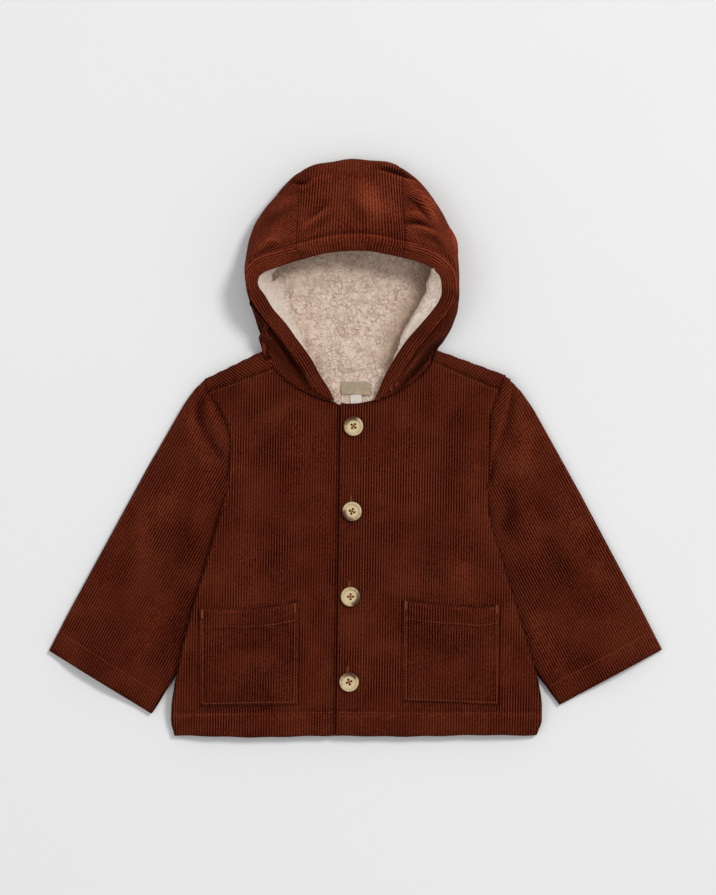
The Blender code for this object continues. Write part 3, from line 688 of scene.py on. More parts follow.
class SleeveShape:
    """A sleeve laid flat: its outline, and its depth inside it."""

    def __init__(self, name):
        self.name = name
        self.side = name.split("_")[1]
        table = SLEEVES[name]
        at = np.linspace(0, len(table) - 1, 80)
        self.outer, self.inner = np.split(eased(table, at), 2, axis=1)
        self.armhole = armhole_points(self.side)
        self.outer[0], self.inner[0] = self.armhole[0], self.armhole[-1]
        self.cuff = np.array([self.outer[-1], self.inner[-1]])
        tucked = armhole_points(self.side, TUCK)
        self.ring = np.concatenate([self.outer, self.inner[::-1], tucked[::-1]])
        run = self.outer[-1] - self.outer[int(len(at) * 0.3)]
        self.axis = run / np.hypot(*run)
        turn = 1 if self.side == "left" else -1
        self.across = np.array([-self.axis[1], self.axis[0]]) * turn
        self.origin = self.outer[-1]

    def place(self, u, v):
        """A flat point from its grain: u across from the outer edge, v along from the cuff up."""
        x = self.origin[0] + u * self.across[0] - v * self.axis[0]
        y = self.origin[1] + u * self.across[1] - v * self.axis[1]
        return x, y

    def grain(self, x, y):
        """The grain of a flat point, as place reads it."""
        dx, dy = x - self.origin[0], y - self.origin[1]
        return dx * self.across[0] + dy * self.across[1], -(dx * self.axis[0] + dy * self.axis[1])

    def depths(self, x, y):
        """Height of the top and the bottom side at a flat point, and distances to the edges."""
        d_outer, _ = polyline_distance(x, y, self.outer)
        d_inner, _ = polyline_distance(x, y, self.inner)
        d_arm, _ = polyline_distance(x, y, self.armhole)
        on_body = (inset_from(self.side, x, y) > 0) & (y > UNDERARM_Y - 2)
        d_arm = np.where(on_body, -d_arm, d_arm)
        d_cuff, _ = polyline_distance(x, y, self.cuff)
        across = d_outer / np.maximum(d_outer + d_inner, 1e-6)
        along = np.maximum(d_arm, 0) / np.maximum(np.maximum(d_arm, 0) + d_cuff, 1e-6)
        full = mix(ARMHOLE_DEPTH, SLEEVE_DEPTH, smooth(along * 4))
        edge = mix(ARMHOLE_DEPTH, SLEEVE_EDGE_DEPTH, smooth(along * 5))
        open_to = np.minimum(smooth(across / 0.35), smooth((0.9 - across) / 0.4))
        depth = mix(edge, full, open_to)
        near = np.minimum(np.minimum(d_outer, d_inner) / (depth / 2), 1)
        bulge = np.sqrt(1 - (1 - near) ** 2)
        return depth / 2 * (1 + bulge), depth / 2 * (1 - bulge), near, d_arm, d_cuff


def make_sleeve(shape):
    def inside(u, v):
        return depth_in(shape.ring, *shape.place(u, v))

    left = shape.side == "left"
    ring_u, ring_v = shape.grain(*shape.ring.T)
    us = wale_columns(ring_u.min() - 1, ring_u.max() + 1)
    uv, faces = cut_sheet(us, inside, ring_v.min() - 1, ring_v.max() + 1)
    u, v = uv.T
    x, y = shape.place(u, v)
    top, bottom, near, d_arm, d_cuff = shape.depths(x, y)
    flat = smooth(near) * smooth(d_arm / 5) * smooth((d_cuff - 18) / 10)
    arm_flat = smooth(near) * smooth(d_cuff / 30)
    folds = creases_z(x, y, SLEEVE_CREASES[shape.name]) * arm_flat
    top = top + folds + flat * 0.4 * lumps(x, y, 50, 9)
    top = top - near * (rounded(d_arm, 2.6, 2.4) + rounded(d_cuff, 2.0, 1.6))
    top = top - near * seam_dip(d_cuff - CUFF_BAND, 0.5, 1.3)
    bottom = bottom + near * (rounded(d_arm, 2.6, 1.8) + rounded(d_cuff, 2.0, 1.4))
    points = np.concatenate([np.stack([x, y, top], 1), np.stack([x, y, bottom], 1)])
    # Painted light and shade: lighter on the folds' tops, at the cuff and along the outer edge; painted
    # shade in the folds' troughs and at the armhole and cuff seams, and painted shadow where the sleeve
    # goes under the body.
    look = 0.8 * folds - 1.3 * bump(d_arm, 1.1) - 0.5 * bump(d_cuff - CUFF_BAND, 1.2)
    d_inner, _ = polyline_distance(x, y, shape.inner)
    d_outer, _ = polyline_distance(x, y, shape.outer)
    look = look - 2.4 * bump(d_inner, 1.5) - 0.4 * bump(d_inner, 4)
    look = look + 0.35 * bump(d_cuff - 1.4, 1.2) + 0.3 * bump(d_cuff - CUFF_BAND + 2.5, 2)
    look = look + (0.25 if left else 0.5) * bump(d_outer - 2.5, 3)
    turn_top = 1 if left else -1
    under = [tuple(i + len(u) for i in f) for f in faces]
    faces = [f[::turn_top] for f in faces] + [f[::-turn_top] for f in under]
    grain = np.concatenate([grain_of(u, v, look), grain_of(u, v)])
    if not left:
        more, quads, fold_grain = cap_fold(len(points))
        points, grain = np.concatenate([points, more]), np.concatenate([grain, fold_grain])
        faces += quads
    piece = make_mesh(shape.name, points, faces, grain)
    weld_edges(piece, 0.05)
    up = sum(p.normal.z * p.area for p in piece.data.polygons if p.center.z > 6 * MM)
    if up < 0:
        piece.data.flip_normals()
    raise_wales(piece)
    add_wall(piece, SLEEVE_CLOTH)
    return piece


# The fold of the right sleeve's cap, along its outer edge.
CAP_FOLD = (
    (136.6, 61.5), (138.6, 53), (138.3, 45), (136.2, 35), (132.2, 25.6),
    (128.4, 15), (124.8, 3.5), (121.6, -10), (119.4, -24),
)
CAP_FOLD_SLANT = math.radians(46)


def cap_fold(offset):
    """A soft strip of the right sleeve's head, folded over it beside the armhole."""
    edge_x, edge_y = curve_points(*CAP_FOLD, steps=12).T[..., None]
    ts = np.linspace(0, 1, 21)
    y = edge_y + 0 * ts
    seam = side_x("right", y)
    x = seam - 0.6 + (edge_x + 0.6 - seam) * ts
    width = np.maximum(edge_x - seam, 0)
    up = ARMHOLE_DEPTH - 1.4 + np.minimum(width / 12, 1) ** 0.6 * 3.6 * np.sin(np.pi * ts**0.85) ** 0.55
    z = up - 3.2 * smooth((ts - 0.86) / 0.14)
    run, rise = math.cos(CAP_FOLD_SLANT), math.sin(CAP_FOLD_SLANT)
    # Painted light and shade: a highlight where the fold turns over, shade at the armhole seam, and shadow
    # at its edge, where it turns under.
    look = 0.75 * bump(ts - 0.84, 0.1) - 0.8 * bump(ts, 0.12) - 1.2 * bump(ts - 1.02, 0.07)
    grain = grain_of(run * y - rise * x, run * x + rise * y, look)
    points = np.stack([x, y, z], -1)
    quads = [f[::-1] for f in grid_faces(*x.shape, offset)]
    return points.reshape(-1, 3), quads, grain.reshape(-1, 3)


def weld_edges(piece, within):
    """Joins the border points of a piece's layers where they meet."""
    work = bmesh.new()
    work.from_mesh(piece.data)
    border = [v for v in work.verts if v.is_boundary]
    bmesh.ops.remove_doubles(work, verts=border, dist=within * MM)
    work.to_mesh(piece.data)
    work.free()


# ---------------------------------------------------------------- the pockets

PocketShape = namedtuple("PocketShape", "name left right base corners")
POCKETS = (
    PocketShape(
        "pocket_left", -137.5, -51, under_surface,
        (
            (-137.5, -142), (-93, -142.3), (-71, -140), (-55, -136.6), (-51, -136.8),
            (-51.5, -226.5), (-66, -227.3), (-95, -227.8), (-137.2, -228),
        ),
    ),
    PocketShape(
        "pocket_right", 42, 127, over_surface,
        (
            (42, -134.5), (60, -137), (75, -138.6), (92, -139.6), (108, -141),
            (119, -140.2), (127, -138.2), (127, -227.2), (92, -225.4), (42, -223.8),
        ),
    ),
)
# The pockets lie between the first two heights. Their corners above the third are their top edges.
POCKETS_LOW_Y = -232
POCKETS_HIGH_Y = -130
POCKETS_MIDDLE_Y = -180
# Their wales are this far off the front's.
POCKET_SHIFT = 0.9
POCKET_HEM = 15.5
POCKET_LIFT = 1.2
POCKET_CREASES = (
    Crease(-124, -200, -104, -186, -62, -176, 7, 0.8),
    Crease(-118, -172, -96, -176, -66, -168, 6, -0.7),
    Crease(-110, -222, -92, -206, -74, -200, 8, -0.6),
    Crease(58, -170, 84, -176, 112, -168, 7, -0.7),
    Crease(60, -204, 86, -192, 116, -186, 8, 0.8),
    Crease(70, -222, 92, -212, 112, -214, 6, -0.5),
)


def pocket_lines(pocket):
    """A pocket's outline, and the part of it that is the top edge."""
    ring = np.array(pocket.corners, float)
    return ring, ring[ring[:, 1] > POCKETS_MIDDLE_Y]


def make_pocket(pocket):
    ring, top_line = pocket_lines(pocket)
    start = OVERLAP_EDGE_HEM_X - POCKET_SHIFT

    def inside(u, v):
        return depth_in(ring, u + lean(v), v)

    us = wale_columns(pocket.left - 2, pocket.right + 4, start)
    uv, faces = cut_sheet(us, inside, POCKETS_LOW_Y, POCKETS_HIGH_Y, 3.0)
    u, v = uv.T
    x = u + lean(v)
    d, _ = polyline_distance(x, v, np.concatenate([ring, ring[:1]]))
    d_top, _ = polyline_distance(x, v, top_line)
    rise = POCKET_LIFT + POCKET_WALL + 0.5 * smooth((16 - d_top) / 3)
    z = pocket.base(x, v) + rise - rounded(d, 1.7, 1.7) - seam_dip(d_top - POCKET_HEM, 0.45, 1.2)
    z = z - 0.35 * bump(d - 3.2, 1.0) * (d_top > 4)
    z = z + 0.5 * bump(d_top, 9) * np.sin(np.pi * (x - pocket.left) / (pocket.right - pocket.left)) ** 2
    folds = creases_z(x, v, POCKET_CREASES)
    z = z + smooth((d - 2) / 6) * folds
    # Painted light and shade: a highlight along the top edge and just inside the outline, shade under the
    # hem's stitching and just inside the sides, a little darker overall, and lighter or darker on the
    # folds.
    look = 1.3 * bump(d_top - 0.9, 0.9) - 0.5 * bump(d_top - POCKET_HEM - 1.4, 1.1) - 0.2 + 0.3 * folds
    look = look + 0.7 * bump(d - 1.2, 0.9) * (d_top > 3) - 0.5 * bump(d - 4.0, 1.0) * (d_top > 4)
    points = np.stack([x, v, z], 1)
    piece = make_mesh(pocket.name, points, faces, grain_of(u - start, v, look), POCKET_CLOTH)
    raise_wales(piece)
    return piece


# ---------------------------------------------------------------- the hood

Section = namedtuple("Section", "edge_x edge_y side_x side_y side_z rise neck_at")
HOOD = (
    Section(-18, 42, -21, 42, 12, 0.0, 0),
    Section(-23, 53, -36, 51, 13, 0.12, 0.3),
    Section(-37, 76, -57, 67, 14, 0.3, 0.68),
    Section(-55, 102, -72, 87, 14, 0.48, 1.0),
    Section(-71, 122, -85, 104, 14, 0.64, 1.5),
    Section(-81, 137, -93, 127, 15, 0.75, 2.0),
    Section(-85, 146, -97, 146, 16, 0.82, 2.08),
    Section(-80, 154, -96, 170, 16, 0.9, 2.18),
    Section(-66, 159, -86, 202, 16, 0.96, 2.28),
    Section(-48, 164, -49, 243, 16, 0.99, 2.4),
    Section(-20, 171, -18, 254, 16, 1.0, 2.8),
    Section(10, 172.5, 10, 255, 16, 1.0, 2.8),
    Section(40, 166.5, 40, 248, 16, 0.99, 2.4),
    Section(59, 161, 73, 213, 16, 0.96, 2.28),
    Section(71, 153, 88, 177, 16, 0.9, 2.18),
    Section(75, 143, 91.5, 150, 16, 0.82, 2.08),
    Section(72, 129, 90, 121, 15, 0.75, 2.0),
    Section(56, 109, 82, 101, 14, 0.64, 1.5),
    Section(41, 90, 66, 82, 14, 0.48, 1.0),
    Section(26, 66, 44, 63, 14, 0.3, 0.62),
    Section(19, 50, 28, 49, 13, 0.12, 0.27),
    Section(16, 42.3, 20, 42.6, 12, 0.0, 0),
)
LAST = len(HOOD) - 1
CHIN_X = 21
CHIN_GAP = 0.018
LEFT_SEAM = 9
RIGHT_SEAM = 12
HOOD_NECK_GAP = 0.75
CHIN_Z = 12
FOREHEAD_Z = 34
BAND_WIDTH = 14.5
SIDE_BEYOND_BAND = 1.5
RIDGE_DOWN = 2
# Just short of the neck seam, as a place down a section: 0 is its face edge and 4 its widest.
AT_NECK = 6.999
# Millimetres from one section to the next: at the crown's seams, and along the band.
SEAM_STEP = 29
BAND_STEP = 22
CENTRE_WALES = 37


def hood_section(at):
    return Section(*eased(HOOD, at))


def on_left(at):
    return at < len(HOOD) / 2


def from_chin(at):
    """How many sections a place is from the nearer end of the face edge."""
    return np.minimum(at, LAST - at)


def neck_spot(at, along):
    """Where the neck's seam is: along is 0 at the chin, 2 at the shoulder and 3 behind the neck."""
    fold, seam = SHOULDERS["left" if on_left(at) else "right"]
    hold = math.copysign(HOOD_NECK_GAP, -fold.neck_x)
    if along <= 1:
        x = mix(math.copysign(CHIN_X, fold.neck_x), seam.neck_x, along)
        return Vector((x, neck_y(x, FRONT_NECK) + HOOD_NECK_GAP, MIDDLE_DEPTH))
    if along <= 2:
        up = along - 1
        x, y = mix(seam.neck_x, fold.neck_x, up), mix(line_neck_y(seam), line_neck_y(fold), up)
        return Vector((x + hold, y + HOOD_NECK_GAP * up, MIDDLE_DEPTH * (1 - up**3)))
    x = mix(fold.neck_x + hold, NECK_X, along - 2)
    return Vector((x, neck_y(x, BACK_NECK) + HOOD_NECK_GAP, 0))


def hood_line(at):
    """The points that a section of the hood is drawn through, from its face edge to the neck seam."""
    before, section, after = (hood_section(at + step) for step in (-0.2, 0, 0.2))
    run = Vector((after.edge_x - before.edge_x, after.edge_y - before.edge_y, 0)).normalized()
    out = Vector((-run.y, run.x, 0))
    rise = section.rise
    band = BAND_WIDTH * float(smooth((from_chin(at) + 0.35) / 1.6))
    edge = Vector((section.edge_x, section.edge_y, mix(CHIN_Z - 1, FOREHEAD_Z, rise)))
    side = Vector((section.side_x, section.side_y, section.side_z))
    band = min(band, (side - edge).dot(out) - SIDE_BEYOND_BAND)
    ridge = edge + out * band + Vector((0, 0, 1 + 7 * rise * rise))
    crest = edge + out * band * 0.5 + Vector((0, 0, 3 + 3 * rise * rise))
    neck = neck_spot(at, section.neck_at)
    reach = neck - side
    reach.z = 0
    under = side + reach.normalized() * min(12, reach.length * 0.5)
    on_front = float(smooth((2.1 - section.neck_at) / 0.8))
    under.z = mix(0, MIDDLE_DEPTH + 1, on_front)
    shoulder = ridge.lerp(side, 0.55) + Vector((0, 0, (ridge.z - side.z) * 0.33))
    lead = under.lerp(neck, 0.5)
    lead.z = mix(0, MIDDLE_DEPTH + 0.5, on_front)
    return [edge, crest, ridge, shoulder, side, under, lead, neck]


def unit(vectors):
    return vectors / np.maximum(np.linalg.norm(vectors, axis=-1, keepdims=True), 1e-9)


def grid_normals(points):
    return unit(np.cross(np.gradient(points, axis=0), np.gradient(points, axis=1)))


class HoodGrid:
    at_step, down_step = 0.06, 0.1

    def __init__(self):
        ats = np.arange(0, LAST + 1e-6, self.at_step)
        downs = np.arange(0, 7 + 1e-6, self.down_step)
        self.points = np.array([eased(hood_line(float(at)), downs) for at in ats])
        self.points[..., 2] = np.maximum(self.points[..., 2], 0)
        steps = np.linalg.norm(self.points[:, 1:] - self.points[:, :-1], axis=-1)
        self.arcs = np.concatenate([np.zeros((len(ats), 1)), np.cumsum(steps, 1)], 1)
        self.normals = grid_normals(self.points)

    def lookup(self, field, at, down):
        i = np.clip(at / self.at_step, 0, field.shape[0] - 1.001)
        j = np.clip(down / self.down_step, 0, field.shape[1] - 1.001)
        i0, j0 = i.astype(int), j.astype(int)
        s, t = i - i0, j - j0
        if field.ndim == 3:
            s, t = s[..., None], t[..., None]
        low = field[i0, j0] * (1 - t) + field[i0, j0 + 1] * t
        high = field[i0 + 1, j0] * (1 - t) + field[i0 + 1, j0 + 1] * t
        return low * (1 - s) + high * s


def grid_faces(rows, columns, offset=0):
    """The quads of a grid of points, whose first point has this number."""
    index = np.arange(rows * columns).reshape(rows, columns) + offset
    quads = np.stack([index[:-1, :-1], index[:-1, 1:], index[1:, 1:], index[1:, :-1]], -1)
    return quads.reshape(-1, 4).tolist()


# In plan, on what lies above the hood's widest line.
HOOD_CREASES = (
    Crease(21, 245.5, 41, 237, 58, 233, 1.7, 0.9),
    Crease(18, 251, 40, 243, 62, 238, 3.4, -1.4),
    Crease(48, 231, 57, 223, 71, 210, 1.5, 1.2),
    Crease(51, 225, 59, 216, 75, 195, 1.8, 0.9),
    Crease(44, 221, 55, 215, 68, 198, 2.6, -0.9),
    Crease(41, 204.5, 52, 206, 62, 202, 2.2, 0.6),
    Crease(41, 199, 56, 198, 72, 192, 2.6, -1.1),
    Crease(41, 193, 57, 194, 72, 189, 1.9, 0.8),
    Crease(46, 187, 68, 184, 80, 170, 4.2, -0.9),
    Crease(80, 196, 86, 182, 88, 163, 1.6, 0.9),
    Crease(-60, 234, -52, 230.5, -43, 229.5, 1.8, 0.8),
    Crease(-60, 238, -50, 233.5, -40, 236, 2.0, -1.0),
    Crease(-43, 231, -34, 236, -18, 240, 2.2, 0.6),
    Crease(-47, 194, -39.5, 198, -25, 210, 1.9, 0.9),
    Crease(-46, 189, -36, 193, -20, 204, 3.0, -0.7),
    Crease(-44, 206, -36, 206, -22, 218, 3.4, -0.5),
    Crease(-84, 176, -74, 183, -58, 178, 1.7, 0.8),
    Crease(-88, 190, -72, 204, -50, 214, 5.0, -0.5),
    Crease(-80, 204, -66, 214, -48, 220, 3.6, 0.4),
    Crease(-86, 168, -72, 176, -48, 182, 3.4, -0.7),
    Crease(4, 232, 14, 214, 30, 204, 8, 0.5),
    Crease(10, 192, 22, 188, 38, 184, 6, -0.5),
    Crease(-10, 222, 2, 208, 6, 192, 7, -0.4),
)
# The wales on each side panel turn about a middle, and close up by a share of the height they fall.
SIDE_WALES = {"left": (-2, 106), "right": (8, 128)}
WALES_DOWN = 0.7
# Below this place down a section they follow the wall instead.
WALL_FROM = 3.6
# The collar's wales run almost straight. It starts this many sections from the chin.
COLLAR_LEAN = 0.35
COLLAR_DROP = 0.9
BELOW_FOLD = 5.4

# Folds of the collar, below the V of the face edge on the right.
COLLAR_CREASES = (
    Crease(86, 106.7, 62, 88, 31, 50.4, 1.1, 1.8),
    Crease(88, 101, 66, 83, 36, 48.5, 2.6, -3.0),
    Crease(86, 118, 64, 98, 38, 62, 2.0, -0.7),
)


def band_down(at):
    """How far down each section the face band ends: it is narrower below the cheeks."""
    return mix(1.62, RIDGE_DOWN, smooth((from_chin(at) - 4.6) / 2))


def hood_shape(grid, at, down):
    """The hood's outer side, with creases, seams and band: points, millimetres down, and painted light and
    shade.
    """
    p = grid.lookup(grid.points, at, down)
    n = grid.lookup(grid.normals, at, down)
    arc = grid.lookup(grid.arcs, at, down)
    beyond = arc - grid.lookup(grid.arcs, at, band_down(at))
    to_neck = grid.lookup(grid.arcs, at, np.full_like(down, AT_NECK)) - arc
    x, y, z = np.moveaxis(p, -1, 0)
    from_end, left = from_chin(at), on_left(at)
    folds = creases_z(x, y, HOOD_CREASES) * smooth((down - 2.1) / 0.5) * smooth((4.3 - down) / 0.5)
    lift = folds * 3.4
    lift = lift + 0.5 * lumps(x * 1.2, y + z, 30, 3) * smooth(down - 0.8) * smooth((5 - down) / 0.8)
    lift = lift + 0.8 * lumps(at * 14, down * 6, 26, 12) * smooth(from_end / 2) * (down < 2.4)
    crown = smooth((from_end - 5) / 2)
    lift = lift + mix(0.5, 1.1, crown) * bump(beyond + 0.6, 1.8)
    lift = lift - mix(0.6, 2.6, crown) * bump(beyond - 3.2, 1.9) * smooth((from_end - 0.6) / 1.5)
    for seam in (LEFT_SEAM, RIGHT_SEAM):
        lift = lift - seam_dip((at - seam) * SEAM_STEP, 0.45, 1.3)
    lift = lift - rounded(arc, 1.6, 1.2) - rounded(from_end * 12, 1.5, 1.0)
    p = p + n * lift[..., None]
    # Beyond the band the collar lies lower, so that the band casts a shadow on it.
    under_band = smooth((from_end - 0.7) / 1.6) * smooth((5.7 - from_end) / 1.2)
    ledge = np.where(left, 6.0, 1.6) * smooth(beyond / 0.9) * (1 - 0.85 * smooth((beyond - 1) / 13))
    collar = creases_z(x, y, COLLAR_CREASES) * (beyond > 0.4) * smooth((5.6 - from_end) / 1.2)
    p[..., 2] += collar - ledge * under_band - (n[..., 2] > 0) * rounded(to_neck, 2.2, 2.0)
    edge_wave = 0.9 * lumps(at * 13, at * 0, 20, 5)
    edge_wave = edge_wave * smooth((2.2 - down) / 2) * smooth(from_end / 1.5)
    p[..., 0] += notch_x(at, down) + edge_wave * np.where(left, 1, 0.4)
    p[..., 1] -= 0.15 * np.maximum(p[..., 1] - 238, 0)
    p[..., 2] = np.maximum(p[..., 2], 0.0)
    # Painted light and shade: the crown lighter, most towards the right, with a lighter patch low on the
    # right; the folds' tops, the collar's folds and the band's edge lighter; painted shadow under the
    # band's edge on the collar and behind the band on the crown, and painted shade along the seams.
    look = (1.25 + 1.2 * smooth((x - 40) / 30) + 0.4 * smooth((-40 - x) / 30)) * crown
    look = look + 4 * folds + 0.9 * collar + mix(1.5, 2.2, crown) * bump(beyond + 0.4, 0.9)
    dark = bump(np.maximum(beyond - 1.2, 0), np.where(left, 5.5, 2.0)) * (beyond > 0.3)
    look = look - np.where(left, 1.9, 0.9) * dark * under_band - 2.4 * crown * bump(beyond - 1.9, 1.1)
    look = look + 0.5 * (1 - crown) * bump(from_end * BAND_STEP - 8, 40) * (left == 0)
    for seam in (LEFT_SEAM, RIGHT_SEAM):
        look = look - 0.3 * bump((at - seam) * SEAM_STEP, 0.9)
    return p, arc, look


def notch_x(at, down):
    """Where the outline steps in on each side, between the hood and its collar."""
    left = 6.8 * bump(at - 4, np.where(at > 4, 0.5, 0.2)) * (at < 8) - 5.5 * bump(at - 3.55, 0.2)
    right = bump(LAST - at - 3.3, 0.25) * 2.4
    return (left - right) * smooth((down - 2.3) / 0.8)


def make_hood_centre(grid):
    """The middle panel, its wales running from the band over the crown to the back of the neck."""
    ats = np.linspace(LEFT_SEAM, RIGHT_SEAM, CENTRE_WALES * 2 + 1)
    at, down = np.meshgrid(ats, np.linspace(0, 7, 111))
    p, arc, look = hood_shape(grid, at, down)
    wales = (at - LEFT_SEAM) / (RIGHT_SEAM - LEFT_SEAM) * CENTRE_WALES
    grain = np.stack([wales, arc, look], -1)
    piece = hood_piece("hood_centre", p.reshape(-1, 3), grid_faces(*at.shape), grain.reshape(-1, 3))
    raise_wales(piece)
    return piece


def make_hood_side(grid, name, first, last):
    """A side panel: the band's wales run along the face edge, and the rest's curve round the head."""
    ats = np.linspace(first, last, int((last - first) * 16) + 1)
    left = name.endswith("left")
    middle_x, middle_y = SIDE_WALES["left" if left else "right"]
    lean = COLLAR_LEAN if left else -COLLAR_LEAN
    points, faces, grains = [], [], []
    for what, rows in (("band", 16), ("rest", 74)):
        at, share = np.meshgrid(ats, np.linspace(0, 1, rows))
        down = share * band_down(at) if what == "band" else mix(band_down(at), 7, share)
        p, arc, look = hood_shape(grid, at, down)
        u, v = arc, at * BAND_STEP
        if what == "rest":
            above = from_chin(at) > BELOW_FOLD
            kept = np.where(above, np.minimum(down, WALL_FROM), down)
            x, y, z = np.moveaxis(grid.lookup(grid.points, at, kept), -1, 0)
            round_head = np.hypot(x - middle_x, y - middle_y) + WALES_DOWN * (FOREHEAD_Z - z)
            round_head = round_head + arc - hood_shape(grid, at, kept)[1]
            collar = x + lean * y + np.sign(-lean) * COLLAR_DROP * (FOREHEAD_Z - z)
            u = np.where(above, round_head, collar)
            v = np.where(above, np.arctan2(y - middle_y, x - middle_x) * 90, y)
        faces += grid_faces(*at.shape, sum(map(len, points)))
        points.append(p.reshape(-1, 3))
        grains.append(grain_of(u, v, look).reshape(-1, 3))
    return hood_piece(name, np.concatenate(points), faces, np.concatenate(grains))


def hood_piece(name, points, faces, grain):
    """A panel of the hood, with its thickness."""
    piece = make_mesh(name, points, faces, grain)
    for vertex in piece.data.vertices:
        # The wall goes down from here, so it starts a wall's thickness up.
        if vertex.normal.z > 0 and vertex.co.z < HOOD_CLOTH * MM:
            vertex.co.z = HOOD_CLOTH * MM
    add_wall(piece, HOOD_CLOTH)
    return piece


# ---------------------------------------------------------------- the pile lining

LINING_GAP = 0.8
LINING_DOWNS = (0, 0.5, 1.2, 2, 3, 4, 4.5, 5, 6, 6.6)
LINING_NECK_INSET = 3
BACK_LINING_FOOT = 4.4
# How far inside the face edge each of the lining's rows stands, and its share of the edge's height.
LEFT_WALL = (0, 0, 2, 6, 11, 16, 21, 24, 0, 0), (1, 1, 0.86, 0.64, 0.4, 0.2, 0.05, 0, 0, 0)
RIGHT_WALL = (0, 0, 4, 8, 10, 9, 6, 3, 0, 0), (1, 1, 0.98, 0.94, 0.82, 0.36, 0.12, 0.06, 0, 0)
FACE_MIDDLE = np.array([-4.0, 140.0, 0.0])
# The right wall's inner edge, and the hollow beside it where a shadow is painted, in plan.
HOLLOW = ((64, 156), (61.4, 151), (58, 135), (50.4, 124.6), (43, 109.6), (35, 94.6), (33, 84), (21.7, 61))


def tuft_height(points, size, seed):
    """Height of curled pile at each point: small rounded clumps with narrow valleys between them."""
    # Without a seed of its own, noise_vector's swirls would differ from run to run.
    noise.seed_set(seed)
    shift = Vector((seed * 7.3, seed * 3.1, seed * 1.7))
    out = np.empty(len(points))
    for i, p in enumerate(points):
        q = Vector(p) / size + shift
        swirl = noise.noise_vector(q * 0.6) * 0.8
        d, _ = noise.voronoi(q + swirl)
        coarse = min(d[1] - d[0], 0.5) / 0.5
        crease = min(abs(noise.noise(q * 0.75 + swirl)) * 5, 1)
        d2, _ = noise.voronoi(q * 1.9 + swirl * 2)
        fine = min(d2[1] - d2[0], 0.45) / 0.45
        broad = 0.5 + noise.noise(q * 0.3)
        out[i] = (0.4 * coarse**0.5 + 0.36 * crease**0.6) * (0.6 + 0.4 * broad) + 0.26 * fine**0.5
    return out


def lining_rows(grid, ats):
    """The lining's outer side at a few places down each section, a gap inside the hood's wall."""
    at, down = np.meshgrid(ats, LINING_DOWNS, indexing="ij")
    rows = grid.lookup(grid.points, at, np.minimum(down, 6.0))
    neck_at = eased([s.neck_at for s in HOOD], ats)
    rise = eased([s.rise for s in HOOD], ats)
    end_share = mix(0.6, 0.95, smooth((neck_at - 2.1) / 0.3))[:, None]
    rows[:, -1] = mix(rows[:, -2], grid.lookup(grid.points, ats, np.full_like(ats, AT_NECK)), end_share)
    deep = HOOD_WALL + LINING_GAP
    held = rows - grid_normals(rows) * deep
    edge = rows[:, 0]
    inward = unit(FACE_MIDDLE - edge * (1, 1, 0))
    from_end, left_side = from_chin(ats), on_left(ats)
    corner = smooth(1.6 - np.abs(from_end - 4.6))[:, None] * smooth(down - 3)
    push = 1.5 * smooth(2 - np.abs(down - 2.5)) * rise[:, None] + 2 * corner
    held = held + inward[:, None] * push[..., None]
    ends = []
    for a in ats:
        seam = neck_spot(a, hood_section(a).neck_at)
        toward = Vector((NECK_X - seam.x, NECK_Y - seam.y, 0)).normalized()
        ends.append(seam + toward * LINING_NECK_INSET - Vector((0, 0, deep)))
    share = ((down - 0.5) / (LINING_DOWNS[-1] - 0.5))[..., None]
    plain = mix(held[:, 1:2], np.array(ends)[:, None], share)
    plain[..., 2] -= 4 * share[..., 0] * (1 - share[..., 0])
    held = mix(held, plain, smooth((0.7 - rise) / 0.15)[:, None, None])
    # The walls that show inside the face edge.
    along_x, along_y, level = np.gradient(edge * (1, 1, 0), axis=0).T
    across = unit(np.stack([along_y, -along_x, level], -1))
    left = smooth((ats - 1.2) / 2) * smooth((9.6 - ats) / 3.4)
    right = smooth((ats - 13.0) / 1.4) * smooth((LAST - 1.2 - ats) / 2.5)
    low_v = mix(0.4, 1, smooth((from_end - 3) / 2))
    for weight, wall_rows in ((left, LEFT_WALL), (right, RIGHT_WALL)):
        ins, ups = np.array(wall_rows)
        wall = edge[:, None] + across[:, None] * ins[None, :, None] * low_v[:, None, None]
        wall[..., 2] = (edge[:, None, 2] - 4) * ups
        held = mix(held, wall, (weight[:, None] * (ins > 0))[..., None])
    # The rows under the collar lie further in, clear of the wall that the notches bend.
    inwards = np.where(left_side, 5, -5) * smooth((5.6 - from_end) / 1.2) + 14 * bump(ats - 4.6, 0.9)
    held[..., 0] += (notch_x(at, down) + inwards[:, None]) * (down > 5.5)
    held[..., 1] -= 0.25 * np.maximum(held[..., 1] - 236, 0)
    held[..., 2] -= 3.5 * smooth((1.5 - from_end) / 1.2)[:, None]
    under_collar = smooth((6.4 - from_end) / 1.2) * np.where(left_side, 6.5, 4.5)
    held[..., 2] -= under_collar[:, None] * smooth((down - 2.5) / 2)
    least = deep + 2.4 * smooth((2.2 - neck_at) / 0.3)
    held[..., 2] = np.maximum(held[..., 2], least[:, None])
    return held[:, 1:], left + right


def smooth_grid(points, times):
    """Moves each inner point of a grid half way to its neighbours' middle, again and again."""
    for _ in range(times):
        inner = points[1:-1, 1:-1]
        around = points[:-2, 1:-1] + points[2:, 1:-1] + points[1:-1, :-2] + points[1:-1, 2:]
        points[1:-1, 1:-1] = 0.5 * inner + 0.125 * around
    return points


